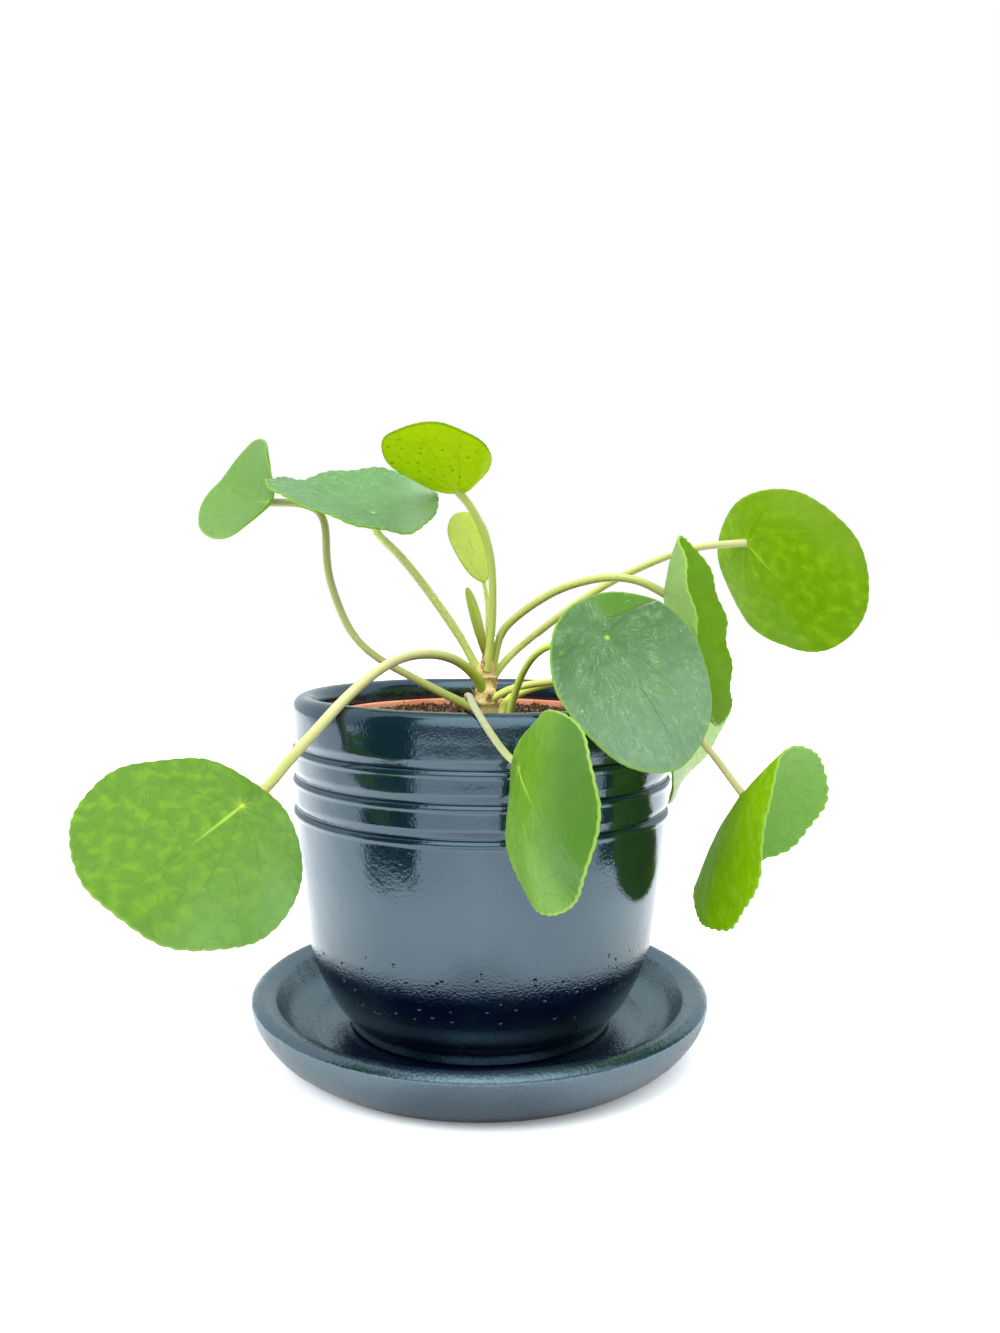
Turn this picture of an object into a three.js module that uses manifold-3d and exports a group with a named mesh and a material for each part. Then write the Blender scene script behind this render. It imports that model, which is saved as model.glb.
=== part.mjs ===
// A potted house plant with round leaves on long stalks, in millimetres, +Z up.
// The origin is the centre of the saucer's flat underside. The view from -Y is the front.
// Every leaf is a stalk and a thin blade that the stalk meets from below, near one side of it.

import * as THREE from 'three';
import { mergeVertices } from 'three/addons/utils/BufferGeometryUtils.js';
import Module from 'manifold-3d';

const wasm = await Module();
wasm.setup();

// Driving dimensions of the pottery, as radii and heights
const GAP = 0.3;
const ROUND_SEGMENTS = 44;
const SAUCER = { baseRadius: 64, side: [[65.5, 0.6], [72.3, 5.2], [77.4, 12], [79.2, 17.5]],
  rim: [[78.6, 19.6], [75.5, 20.8], [71, 19]], slope: [66, 11.5], wellRadius: 58, wellHeight: 8.5,
  wellCorner: [2, 0.5] };
const POT = { footRadius: 45.4, footRing: 7.5, recess: 1.8,
  bowl: [[46, 12.3], [52.3, 20], [58.7, 36], [62, 58]], wallRadius: 64.4, wallBottom: 82,
  rimRadius: 65.3, mouthRadius: 56.8, rimStart: 116.6, top: 122.6,
  inside: [[56.4, 96], [54.6, 62], [49.2, 34], [42.5, 20.5]], floorRadius: 38.8, floor: 16 };
const GROOVES = { heights: [84.8, 95.5, 105.7], depth: 1.1, tall: 3.2, ledge: 0.4 };
const NURSERY = { rimRadius: 53.5, rimHeight: 4.8, rimWall: 2.2, top: 115.6, topRadius: 51,
  bottomRadius: 37, wall: 1.4, bottom: POT.floor + GAP, edge: 0.7, step: 0.8 };
const SOIL = { level: 113.2, lump: 0.35, mound: 1.6, moundWidth: 17, rings: 5 };
const TRUNK = { x: 1, y: -1, bottom: 101, top: 134.5, radius: 3.7, sides: 12,
  scars: [108, 114.5, 119.5, 124, 128.5], swelling: 0.5 };
// Papery scales at the trunk's tip: compass angle, height and outward lean in degrees
const SCALES = { radius: 1.3, tall: 7, flat: 0.45, out: 2.9,
  places: [[100, 132, 8], [215, 129.5, 14], [330, 127.5, 18]] };
const STALK_SIDES = 8;
const BLADE = { thickness: 0.8, rings: [0.3, 0.6, 0.84, 1], segments: 36, foldSteps: 10 };

// Leaves. hub is where the stalk meets the blade. faces is the way the upper side looks at the
// hub, as a compass angle from +X and an angle above level. turn swings the tip from the way
// straight down the blade. Half length, half width and hub offset shape the outline. The bends
// are in degrees for every 10 mm, along and across the blade, and twist is for 30 mm. fold is a
// crease through the hub, of an angle a side, a softness in mm and a direction from the tip, then
// how fast the softness grows for every 10 mm along it. With an angle of 0 it only turns the bends.
// wave is the swing of the edge in mm, the number of waves and their start in degrees. A hem is
// a second fold off the hub: its direction from the tip, distance, angle and softness.
const LEAVES = {
  front_left: { hub: [-70.4, -61, 94.6], faces: [-70, 44], turn: -51, half: [30, 34], offset: 21,
    bend: [1.9, -1.8], twist: -1, wave: [0.9, 7, 40], stalk: { radius: 1.65, steps: 16, path:
      [[0, -3, 124.4], [-1.3, -5, 127.6], [-3.8, -7, 130.8], [-7.7, -9.5, 134.1], [-12.1, -12.5, 136.3],
        [-17.5, -16, 137.2], [-22.8, -20, 137], [-27.9, -25.5, 135.7], [-32.7, -32, 133], [-37.2, -39, 129.5],
        [-40.7, -44.6, 126.2], [-45.3, -48.8, 121.5], [-50.1, -50, 115.8], [-55, -51.2, 110.5],
        [-59.9, -52, 104.7], [-64.7, -53, 98.5]] } },
  front_torn: { hub: [37.2, -52.5, 144.6], faces: [-71, 23], turn: 29, half: [29.5, 27], offset: 15,
    egg: 0.02, bend: [-2.1, 1.8], twist: -9, wave: [0.5, 6, 200],
    tear: { inner: [-6.2, -5], outer: [-1, 24], width: 0.8, lean: 0.36, ease: 8 },
    stalk: { radius: 1.25, steps: 12, path:
      [[3.6, -3.4, 106], [8.2, -6.4, 112.5], [10.3, -11, 121.5], [12.7, -17, 129.7], [16, -24, 136.4],
        [20.5, -33, 140.8], [26.5, -40.5, 142.5], [33.2, -47, 142.6]] } },
  front_hanging: { hub: [10.5, -76.8, 108.9], faces: [-168, 10.6], turn: 65.6, half: [27.6, 27.6],
    offset: 19.7, egg: 0.037, bend: [-6.2, -5.2], fold: [0, 4, -33], wave: [0.7, 6, 90],
    stalk: { radius: 1.1, steps: 17, path:
      [[-1.4, -2.6, 118.4], [-4.4, -9, 121.2], [-4.9, -25, 124], [-4.2, -40, 125.4],
        [-3.7, -52, 126.3], [-3.4, -60, 126], [-1.4, -64.8, 123.2], [2.2, -67.2, 117.7],
        [5.9, -67, 112.6], [8.5, -66.6, 109.1], [12.2, -68.3, 107.8], [13.6, -72.6, 107.6],
        [13, -76, 108.2]] } },
  behind_torn: { hub: [73.3, 12, 109.5], faces: [-29, -10], turn: 60, half: [27, 24.5], offset: 15.8,
    egg: -0.02, bend: [-2.9, 4.8], twist: 14, wave: [0.6, 6, 30], stalk: { radius: 1.6, steps: 13, path:
      [[3.4, -0.6, 108], [6.1, 0, 115], [8.2, 1, 119.4], [12, 2, 122.5], [17.7, 4, 124.4],
        [27.4, 7, 126.4], [41.8, 10, 128], [53.5, 11.5, 127.8], [60.5, 12, 125.8], [66, 12.3, 121.4],
        [70, 12.3, 115.8]] } },
  low_right: { hub: [85.3, -28, 92.5], faces: [-37.6, -41.8], turn: -12.8, half: [37.9, 31.5],
    offset: 9.6, egg: 0.024, bend: [3.6, 7.3], twist: 7.2, fold: [41, 5.4, 35.5, -0.335],
    wave: [0.7, 8, 0], stalk: { radius: 1.2, steps: 13,
      path: [[3.2, -2.6, 120.6], [8.4, -6, 124.4], [12.7, -8, 125.8], [19.4, -11, 127.2],
        [25.9, -14, 128.2], [39, -17, 129.6], [52, -20, 128.6], [62.5, -22, 122.5], [72.4, -24, 109.3],
        [78.4, -26, 101.7], [82.6, -27, 95.7]] } },
  right_folded: { hub: [61, -14, 157.5], faces: [-20, -1], turn: 9, half: [35, 29.5], offset: 15,
    egg: -0.04, bend: [9.6, 2.5], twist: -4, fold: [28, 3.5, -17], wave: [0.7, 9, 0],
    stalk: { radius: 1.35, steps: 13, path:
      [[3.4, -0.6, 131], [4.6, -0.6, 137], [6.4, -1, 143.9], [10.9, -3.4, 148.8], [17.6, -6, 154],
        [25.9, -9, 158.9], [35.7, -12, 162], [43.8, -14, 163], [52, -15, 161.8]] } },
  far_right: { hub: [94.5, 15, 176], faces: [29, 19], turn: -37, half: [31.5, 33], offset: 18,
    egg: -0.05, bend: [6.2, 6.4], twist: -5, wave: [0.6, 6, 120], stalk: { radius: 1.3, steps: 15,
      path: [[2.8, 1.2, 126.5], [5.6, 2.6, 131], [9.2, 3.4, 135.2], [14.7, 4.6, 139.9], [21.8, 6, 145.5],
        [34.3, 10, 154.6], [48.8, 14, 163.2], [56.2, 16, 166.5], [65.5, 18, 170.6], [74.6, 19, 173.6],
        [83.5, 18, 175.1]] } },
  top: { hub: [-9.1, -4.5, 191.9], faces: [64, 53], turn: 179, half: [18.5, 18.5], offset: 17,
    bend: [-3.6, 2.2], twist: 6, wave: [0.5, 5, 0], hem: [130, 2, 50, 3],
    stalk: { radius: 1.35, steps: 12, path:
      [[1.3, -3.5, 130.5], [2.1, -3.7, 136.6], [2.8, -3.8, 143.3], [3.2, -3.8, 150], [3.2, -3.8, 156.6],
        [3, -4, 163.3], [2.3, -4.3, 169.9], [0.7, -4.8, 176], [-2, -5.4, 182.1],
        [-5.2, -5.8, 187.3]] } },
  young: { hub: [0.2, 1.6, 162.2], faces: [-48, 16.5], turn: -163, half: [12.8, 9], offset: 11.6,
    egg: 0.22, bend: [1.5, -0.5], twist: -5, fold: [14, 4.5, 0], wave: [0.3, 5, 0], segments: 24,
    stalk: { radius: 0.8, steps: 8, path:
      [[0.8, 1.4, 132], [1.4, 2.4, 137], [1.6, 3.6, 145], [1.4, 3.8, 153.5]] } },
  upper_left: { hub: [-37.2, -8, 183.8], faces: [-77, 67], turn: -142, half: [30.4, 28.8], offset: 10,
    egg: 0.03, bend: [0, 0], twist: 2, fold: [15, 3.7, -5], wave: [0.5, 10, 0],
    stalk: { radius: 1.45, steps: 14, path:
      [[-0.3, -0.9, 128.4], [-3.5, -1.2, 134], [-5.2, -1.5, 137.5], [-7.3, -1.9, 141], [-9.5, -2.3, 144.5],
        [-11.7, -2.7, 147.9], [-14.2, -3.2, 151.4], [-19.1, -4.4, 158.2], [-24.4, -5.6, 165],
        [-30.4, -6.9, 171.8], [-36.5, -8.2, 177.4]] } },
  far_left: { hub: [-77.2, 18.4, 188.9], faces: [-159, 24], turn: -91, half: [30, 23], offset: 14,
    bend: [9, 0.7], twist: 10, fold: [30, 3.3, 0], wave: [0.4, 5, 60], stalk: { radius: 1.4, steps: 16,
      path: [[-1.4, 0, 116.6], [-6.1, 1.5, 118.5], [-11.4, 3, 120.9], [-17.3, 4, 123.7],
        [-25.5, 5, 128], [-31.4, 6, 130.8], [-38.6, 7.5, 135], [-45.2, 9.5, 140.6], [-49.5, 12, 147.5],
        [-52.8, 13.5, 155.5], [-55.4, 14.5, 163.5], [-56.2, 15.5, 173.7], [-56.4, 16.2, 182],
        [-58.7, 17, 186.6], [-64, 17.4, 188.6], [-71.5, 17.2, 188.6]] } },
  bud: { hub: [0.9, -1.9, 135], faces: [-60, 8], turn: -167, half: [12.7, 2.3], offset: 12.3,
    egg: 0.15, bend: [0, 0], fold: [45, 1.5, 0], wave: [0, 1, 0], segments: 16 },
};

// Colours, roughness and metalness
const FINISH = {
  saucer: { color: 0x4f5f6b, roughness: 0.35, metalness: 0 },
  cover_pot: { color: 0x566875, roughness: 0.35, metalness: 0 },
  nursery_pot: { color: 0xb5603c, roughness: 0.6, metalness: 0 },
  soil: { color: 0x4a3728, roughness: 1, metalness: 0 },
  trunk: { color: 0x9a8f52, roughness: 0.7, metalness: 0 },
  stalk: { color: 0xb4c268, roughness: 0.5, metalness: 0 },
  blade: { color: 0x6ea045, roughness: 0.45, metalness: 0 },
};

const DEG = Math.PI / 180;
const point = (x, y) => new THREE.Vector2(x, y);
const vector = (list) => new THREE.Vector3(...list);

// Closed geometry

// Signed volume of an indexed mesh: negative when its faces point inwards.
function signedVolume(position, index) {
  const [a, b, c] = [new THREE.Vector3(), new THREE.Vector3(), new THREE.Vector3()];
  let volume = 0;
  for (let i = 0; i < index.length; i += 3) {
    a.fromBufferAttribute(position, index[i]);
    b.fromBufferAttribute(position, index[i + 1]);
    c.fromBufferAttribute(position, index[i + 2]);
    volume += a.dot(b.cross(c)) / 6;
  }
  return volume;
}

// Shares the vertices at seams and poles, drops triangles that vanish there and turns the
// faces outwards.
function closed(geometry) {
  const bare = geometry.clone();
  for (const name of Object.keys(bare.attributes)) {
    if (name !== 'position') bare.deleteAttribute(name);
  }
  const merged = mergeVertices(bare, 1e-4);
  const old = merged.index.array;
  const index = [];
  for (let i = 0; i < old.length; i += 3) {
    const [a, b, c] = [old[i], old[i + 1], old[i + 2]];
    if (a !== b && b !== c && c !== a) index.push(a, b, c);
  }
  if (signedVolume(merged.attributes.position, index) < 0) {
    for (let i = 0; i < index.length; i += 3) {
      [index[i + 1], index[i + 2]] = [index[i + 2], index[i + 1]];
    }
  }
  const result = new THREE.BufferGeometry();
  result.setAttribute('position', merged.attributes.position);
  result.setIndex(index);
  return result;
}

function toSolid(geometry) {
  return new wasm.Manifold(new wasm.Mesh({
    numProp: 3,
    vertProperties: new Float32Array(geometry.attributes.position.array),
    triVerts: new Uint32Array(geometry.index.array),
  }));
}

function toGeometry(solid) {
  const mesh = solid.getMesh();
  const geometry = new THREE.BufferGeometry();
  geometry.setAttribute('position', new THREE.BufferAttribute(new Float32Array(mesh.vertProperties), 3));
  geometry.setIndex(Array.from(mesh.triVerts));
  return geometry;
}

function largestPiece(solid) {
  const pieces = solid.decompose();
  return pieces.reduce((best, piece) => (piece.volume() > best.volume() ? piece : best));
}

// Turned pottery: a profile of radius and height, spun round the upright axis
function turned(profile, segments = ROUND_SEGMENTS) {
  return closed(new THREE.LatheGeometry(profile, segments).rotateX(Math.PI / 2));
}

const through = (pairs, steps) =>
  new THREE.SplineCurve(pairs.map(([r, z]) => point(r, z))).getPoints(steps);

function saucerGeometry() {
  const { baseRadius, side, rim, slope, wellRadius, wellHeight, wellCorner } = SAUCER;
  return turned([
    point(0, 0), point(baseRadius, 0), ...through(side, 5), ...through(rim, 4), point(...slope),
    point(wellRadius + wellCorner[0], wellHeight + wellCorner[1]), point(wellRadius, wellHeight),
    point(0, wellHeight),
  ]);
}

// The outer wall between the bowl and the rim, with a groove cut square below and sloped above.
function groovedWall() {
  const { heights, depth, tall, ledge } = GROOVES;
  const slope = (POT.rimRadius - POT.wallRadius) / (POT.rimStart - POT.wallBottom);
  const radiusAt = (z) => POT.wallRadius + slope * (z - POT.wallBottom);
  return heights.flatMap((z) => [
    point(radiusAt(z - ledge), z - ledge),
    point(radiusAt(z) - depth, z),
    point(radiusAt(z + tall), z + tall),
  ]);
}

function coverPotGeometry() {
  const { footRadius, footRing, recess, rimRadius, mouthRadius, rimStart, top } = POT;
  const bottom = SAUCER.wellHeight + GAP;
  const bowl = through([...POT.bowl, [POT.wallRadius, POT.wallBottom]], 8);
  const rimHalf = (rimRadius - mouthRadius) / 2;
  const rim = new THREE.EllipseCurve(mouthRadius + rimHalf, rimStart, rimHalf, top - rimStart, 0, Math.PI);
  return turned([
    point(0, bottom + recess), point(footRadius - footRing, bottom + recess),
    point(footRadius - footRing + recess / 2, bottom), point(footRadius, bottom), ...bowl,
    ...groovedWall(), ...rim.getPoints(6), ...through(POT.inside, 4),
    point(POT.floorRadius, POT.floor), point(0, POT.floor),
  ]);
}

function nurseryPotGeometry() {
  const { rimRadius, rimHeight, rimWall, top, topRadius, bottomRadius, wall, bottom, edge, step } = NURSERY;
  const rimLow = top - rimHeight;
  return turned([
    point(0, bottom), point(bottomRadius, bottom), point(topRadius, rimLow - step),
    point(rimRadius - edge / 2, rimLow), point(rimRadius, top - edge), point(rimRadius - edge, top),
    point(rimRadius - rimWall, top - edge / 2), point(topRadius - wall, rimLow - 2 * step),
    point(bottomRadius - wall, bottom + wall), point(0, bottom + wall),
  ]);
}

// Uneven ground: a few crossing waves, and a mound round the trunk.
function soilHeight(x, y) {
  const { level, lump, mound, moundWidth } = SOIL;
  const waves = Math.sin(x * 0.42 + 1) * Math.cos(y * 0.37) + Math.sin(x * 0.19 - y * 0.53 + 2);
  return level + lump * waves + mound * Math.exp(-((x * x + y * y) / moundWidth ** 2));
}

function soilGeometry() {
  const { bottomRadius, topRadius, wall, bottom, top, rimHeight, step } = NURSERY;
  const low = bottom + wall + GAP;
  const wallTop = top - rimHeight - 2 * step;
  const inner = (z) => bottomRadius - wall - GAP
    + (topRadius - bottomRadius) * (z - low) / (wallTop - low);
  const edge = inner(wallTop);
  const rings = Array.from({ length: SOIL.rings }, (_, i) => point(edge * (1 - i / SOIL.rings), SOIL.level));
  const geometry = turned([point(0, low), point(inner(low), low), point(inner(wallTop - 1), wallTop - 1),
    ...rings, point(0, SOIL.level)]);
  const position = geometry.attributes.position;
  for (let i = 0; i < position.count; i += 1) {
    if (position.getZ(i) > SOIL.level - 0.1) {
      position.setZ(i, soilHeight(position.getX(i), position.getY(i)));
    }
  }
  return geometry;
}

// The trunk has a swelling at each leaf scar, and three papery scales at its tip.
function trunkProfile(extra) {
  const { bottom, top, radius, scars, swelling } = TRUNK;
  const rings = scars.flatMap((z) => [
    point(radius - 0.2 + extra, z - 1.6), point(radius + swelling + extra, z),
    point(radius - 0.1 + extra, z + 1),
  ]);
  return [
    point(0, bottom - extra), point(radius - 0.8 + extra, bottom - extra), ...rings,
    point(radius - 0.4 + extra, top - 3), point(radius - 1.6 + extra, top - 0.6 + extra),
    point(0, top + extra),
  ];
}

function trunkSolid(extra) {
  return toSolid(turned(trunkProfile(extra), TRUNK.sides).translate(TRUNK.x, TRUNK.y, 0));
}

function scaleSolid([angle, height, lean]) {
  const { radius, tall, flat, out } = SCALES;
  const cone = closed(new THREE.ConeGeometry(radius, tall, 5).rotateX(Math.PI / 2).scale(1, flat, 1));
  cone.rotateX(-lean * DEG).translate(0, out, height).rotateZ(angle * DEG);
  return toSolid(cone.translate(TRUNK.x, TRUNK.y, 0));
}

// Blades

// Walks across a folded and rolled blade in small steps, from the crease out to y. The fold's
// angle is that of one side, so both sides together close by twice as much.
function foldAcross(y, along, leaf) {
  const [angle, atHub, , growth = 0] = leaf.fold ?? [0, 1];
  const softness = atHub * Math.exp(growth * along / 10);
  const roll = leaf.bend[1] * DEG / 10;
  const step = y / BLADE.foldSteps;
  let across = 0;
  let up = 0;
  for (let i = 0; i < BLADE.foldSteps; i += 1) {
    const at = (i + 0.5) * step;
    const tilt = angle * DEG * at / Math.hypot(at, softness) + roll * at;
    across += Math.cos(tilt) * step;
    up += Math.sin(tilt) * step;
  }
  return [across, up];
}

// How far the lobe beyond a tear leans back at a place in the flat blade.
function tearLean(x, y, tear) {
  if (!tear) return 0;
  const [x0, y0] = tear.inner;
  const [x1, y1] = tear.outer;
  const length = Math.hypot(x1 - x0, y1 - y0);
  const beyond = ((x1 - x0) * (y - y0) - (y1 - y0) * (x - x0)) / length;
  const along = ((x - x0) * (x1 - x0) + (y - y0) * (y1 - y0)) / length;
  const ease = THREE.MathUtils.smoothstep(along, -tear.ease, tear.ease);
  return -tear.lean * Math.max(beyond, 0) * ease;
}

// Folds the part of a blade beyond its hem towards the upper side, round a soft bend.
function hemmed(x, y, lift, hem) {
  if (!hem) return [x, y, lift];
  const [direction, distance, angle, softness] = hem;
  const [c, s] = [Math.cos(direction * DEG), Math.sin(direction * DEG)];
  const beyond = x * c + y * s - distance;
  if (beyond <= 0) return [x, y, lift];
  const turned = Math.min(beyond / softness, angle * DEG);
  const rest = beyond - turned * softness;
  const out = softness * Math.sin(turned) + rest * Math.cos(turned) - beyond - lift * Math.sin(turned);
  const up = softness * (1 - Math.cos(turned)) + rest * Math.sin(turned) + lift * Math.cos(turned);
  return [x + out * c, y + out * s, up];
}

// A place in the flat blade, x to the tip and y across, bent into its form at the hub.
function bentPoint(x, y, lift, leaf) {
  const crease = (leaf.fold?.[2] ?? 0) * DEG;
  const along = x * Math.cos(crease) + y * Math.sin(crease);
  const [across, rise] = foldAcross(-x * Math.sin(crease) + y * Math.cos(crease), along, leaf);
  const up = rise + lift;
  const arch = leaf.bend[0] * DEG / 10;
  const turn = arch * along;
  const flat = Math.abs(arch) < 1e-6;
  const forward = flat ? along : Math.sin(turn) / arch - up * Math.sin(turn);
  const height = flat ? up : (1 - Math.cos(turn)) / arch + up * Math.cos(turn);
  const twist = (leaf.twist ?? 0) * DEG * along / 30;
  const side = across * Math.cos(twist) - height * Math.sin(twist);
  const top = across * Math.sin(twist) + height * Math.cos(twist);
  return [
    forward * Math.cos(crease) - side * Math.sin(crease),
    forward * Math.sin(crease) + side * Math.cos(crease),
    top,
  ];
}

// The blade's own axes: to the tip, across, and out of the upper side.
function leafAxes(leaf) {
  const [compass, rise] = leaf.faces.map((angle) => angle * DEG);
  const turn = leaf.turn * DEG;
  const facing = [Math.cos(compass), Math.sin(compass)];
  const normal = vector([Math.cos(rise) * facing[0], Math.cos(rise) * facing[1], Math.sin(rise)]);
  const down = vector([Math.sin(rise) * facing[0], Math.sin(rise) * facing[1], -Math.cos(rise)]);
  const side = new THREE.Vector3().crossVectors(normal, down);
  const tip = down.multiplyScalar(Math.cos(turn)).addScaledVector(side, Math.sin(turn));
  return { tip, across: new THREE.Vector3().crossVectors(normal, tip), normal };
}

function bladePoint(share, angle, leaf, axes) {
  const [halfLength, halfWidth] = leaf.half;
  const x = share * (leaf.offset + halfLength * Math.cos(angle));
  const y = share * halfWidth * Math.sin(angle) * (1 + (leaf.egg ?? 0) * Math.cos(angle));
  const [swing, waves, start] = leaf.wave;
  const lift = swing * share ** 3 * Math.sin(waves * angle + start * DEG) + tearLean(x, y, leaf.tear);
  const [forward, side, up] = bentPoint(...hemmed(x, y, lift, leaf.hem), leaf);
  return vector(leaf.hub).addScaledVector(axes.tip, forward).addScaledVector(axes.across, side)
    .addScaledVector(axes.normal, up);
}

// The middle surface of a blade, as rings of points round the hub, with a normal at each.
function bladeSurface(leaf) {
  const axes = leafAxes(leaf);
  const segments = leaf.segments ?? BLADE.segments;
  const places = [{ share: 0, angle: 0 }];
  for (const share of BLADE.rings) {
    for (let i = 0; i < segments; i += 1) places.push({ share, angle: 2 * Math.PI * i / segments });
  }
  const points = places.map(({ share, angle }) => bladePoint(share, angle, leaf, axes));
  const triangles = [];
  for (let i = 0; i < segments; i += 1) {
    const next = (i + 1) % segments;
    triangles.push([0, 1 + i, 1 + next]);
    for (let ring = 1; ring < BLADE.rings.length; ring += 1) {
      const inner = 1 + (ring - 1) * segments;
      const outer = 1 + ring * segments;
      triangles.push([inner + i, outer + i, outer + next], [inner + i, outer + next, inner + next]);
    }
  }
  const normals = points.map(() => new THREE.Vector3());
  for (const [a, b, c] of triangles) {
    const face = new THREE.Vector3().subVectors(points[b], points[a])
      .cross(new THREE.Vector3().subVectors(points[c], points[a]));
    for (const corner of [a, b, c]) normals[corner].add(face);
  }
  normals.forEach((normal) => normal.normalize());
  const edge = 1 + (BLADE.rings.length - 1) * segments;
  return { points, normals, triangles, edge, segments };
}

// A blade of even thickness, split into triangles alike on both faces. With extra it is the
// larger body that keeps other pieces clear of the blade.
function bladeSolid(leaf, extra = 0) {
  const half = BLADE.thickness / 2 + extra;
  const outline = leaf.half.map((length) => length + extra);
  const { points, normals, triangles, edge, segments } = bladeSurface({ ...leaf, half: outline });
  const count = points.length;
  const upper = points.map((p, i) => p.clone().addScaledVector(normals[i], half));
  const lower = points.map((p, i) => p.clone().addScaledVector(normals[i], -half));
  const index = [];
  for (const [a, b, c] of triangles) {
    index.push(a, b, c);
    index.push(count + a, count + c, count + b);
  }
  for (let i = 0; i < segments; i += 1) {
    const a = edge + i;
    const b = edge + (i + 1) % segments;
    index.push(a, count + a, b, b, count + a, count + b);
  }
  const geometry = new THREE.BufferGeometry().setFromPoints([...upper, ...lower]);
  geometry.setIndex(index);
  return toSolid(closed(geometry));
}

// The wedge of air in a torn blade, narrow at the inner end of the tear.
function tearSolid(leaf) {
  const { inner, outer, width } = leaf.tear;
  const shape = new THREE.Shape([point(...inner), point(outer[0] + width / 2, outer[1]),
    point(outer[0] - width / 2, outer[1])]);
  const wedge = new THREE.ExtrudeGeometry(shape, { depth: 30, bevelEnabled: false }).translate(0, 0, -18);
  const axes = leafAxes(leaf);
  const place = new THREE.Matrix4().makeBasis(axes.tip, axes.across, axes.normal)
    .setPosition(...leaf.hub);
  return toSolid(closed(wedge.applyMatrix4(place)));
}

// Stalks

// A stalk runs along its path and then turns up to the hub, where the blade's underside trims it.
function stalkSolid(leaf, extra = 0) {
  const { radius, steps, path } = leaf.stalk;
  const { normal } = leafAxes(leaf);
  const end = vector(leaf.hub).addScaledVector(normal, -0.6);
  const [first, second] = path.map(vector);
  const start = first.clone().add(first.clone().sub(second).setLength(extra));
  const curve = new THREE.CatmullRomCurve3([start, ...path.slice(1).map(vector), end], false,
    'catmullrom', 0.5);
  const ring = Array.from({ length: STALK_SIDES }, (_, i) => {
    const angle = 2 * Math.PI * i / STALK_SIDES;
    return point((radius + extra) * Math.cos(angle), (radius + extra) * Math.sin(angle));
  });
  const tube = new THREE.ExtrudeGeometry(new THREE.Shape(ring), { steps, bevelEnabled: false,
    extrudePath: curve });
  return toSolid(closed(tube));
}

// The whole plant in its pot and saucer

const plant = new THREE.Group();

function addPiece(name, geometry, finish) {
  const mesh = new THREE.Mesh(geometry, new THREE.MeshStandardMaterial(finish));
  mesh.name = name;
  plant.add(mesh);
}

addPiece('saucer', saucerGeometry(), FINISH.saucer);
addPiece('cover_pot', coverPotGeometry(), FINISH.cover_pot);
addPiece('nursery_pot', nurseryPotGeometry(), FINISH.nursery_pot);

const clearTrunk = trunkSolid(GAP);
let trunk = SCALES.places.reduce((solid, scale) => solid.add(scaleSolid(scale)), trunkSolid(0));
let soil = toSolid(soilGeometry()).subtract(clearTrunk);

for (const [name, leaf] of Object.entries(LEAVES)) {
  let blade = bladeSolid(leaf);
  if (leaf.tear) blade = blade.subtract(tearSolid(leaf));
  if (leaf.stalk) {
    const clearBlade = bladeSolid(leaf, 1.2 * GAP);
    const stalk = largestPiece(stalkSolid(leaf).subtract(clearBlade).subtract(clearTrunk));
    trunk = trunk.subtract(stalkSolid(leaf, GAP));
    soil = soil.subtract(stalkSolid(leaf, GAP));
    addPiece(`stalk_${name}`, toGeometry(stalk), FINISH.stalk);
  } else {
    blade = largestPiece(blade.subtract(clearTrunk));
  }
  addPiece(`blade_${name}`, toGeometry(largestPiece(blade)), FINISH.blade);
}

addPiece('trunk', toGeometry(largestPiece(trunk)), FINISH.trunk);
addPiece('soil', toGeometry(largestPiece(soil)), FINISH.soil);

export default plant;
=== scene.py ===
# %% [markdown]
# # A potted house plant with round leaves
#
# The plant has eleven coin-shaped leaves on long stalks and a folded bud. It stands in a thin
# plastic pot of soil, inside a painted ceramic pot on a painted saucer. This lesson dresses the
# measured model in fine meshes and procedural finishes. First we load the model as a fixed frame.

# %% Load the measured frame
import math

import bmesh
import bpy
import numpy as np
from mathutils import Matrix, Vector
from mathutils.kdtree import KDTree


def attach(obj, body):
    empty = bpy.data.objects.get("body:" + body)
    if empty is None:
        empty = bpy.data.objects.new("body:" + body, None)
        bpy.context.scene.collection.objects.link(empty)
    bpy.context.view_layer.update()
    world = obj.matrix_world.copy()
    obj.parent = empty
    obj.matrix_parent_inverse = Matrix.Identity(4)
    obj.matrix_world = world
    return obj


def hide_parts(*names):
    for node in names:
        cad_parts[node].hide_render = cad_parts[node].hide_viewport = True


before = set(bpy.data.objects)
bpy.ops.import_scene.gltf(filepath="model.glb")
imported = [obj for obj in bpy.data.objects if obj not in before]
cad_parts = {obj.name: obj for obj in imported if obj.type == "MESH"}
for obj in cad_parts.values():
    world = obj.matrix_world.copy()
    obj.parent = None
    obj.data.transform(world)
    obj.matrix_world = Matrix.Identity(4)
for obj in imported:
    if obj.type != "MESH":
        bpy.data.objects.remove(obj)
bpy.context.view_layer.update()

MM = 0.001
print("nodes in the frame:", len(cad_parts))


# %% [markdown]
# ## Camera
#
# The camera stands 390 mm in front of the pot's middle and a little above its rim, looking down
# by four degrees. A lens is easier to trust when it is worked out from the picture's own size, so
# the focal length comes from the long side of the frame.

# %% Camera
CAMERA_DISTANCE = 390 * MM
CAMERA_HEIGHT = 160.5 * MM
CAMERA_PITCH = math.radians(4.2)
CAMERA_YAW = math.radians(0.88)
CAMERA_ROLL = math.radians(0.5)
SENSOR_MM = 36.0
LONG_SIDE_PIXELS = 1333
FOCAL_PIXELS = 1128


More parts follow.
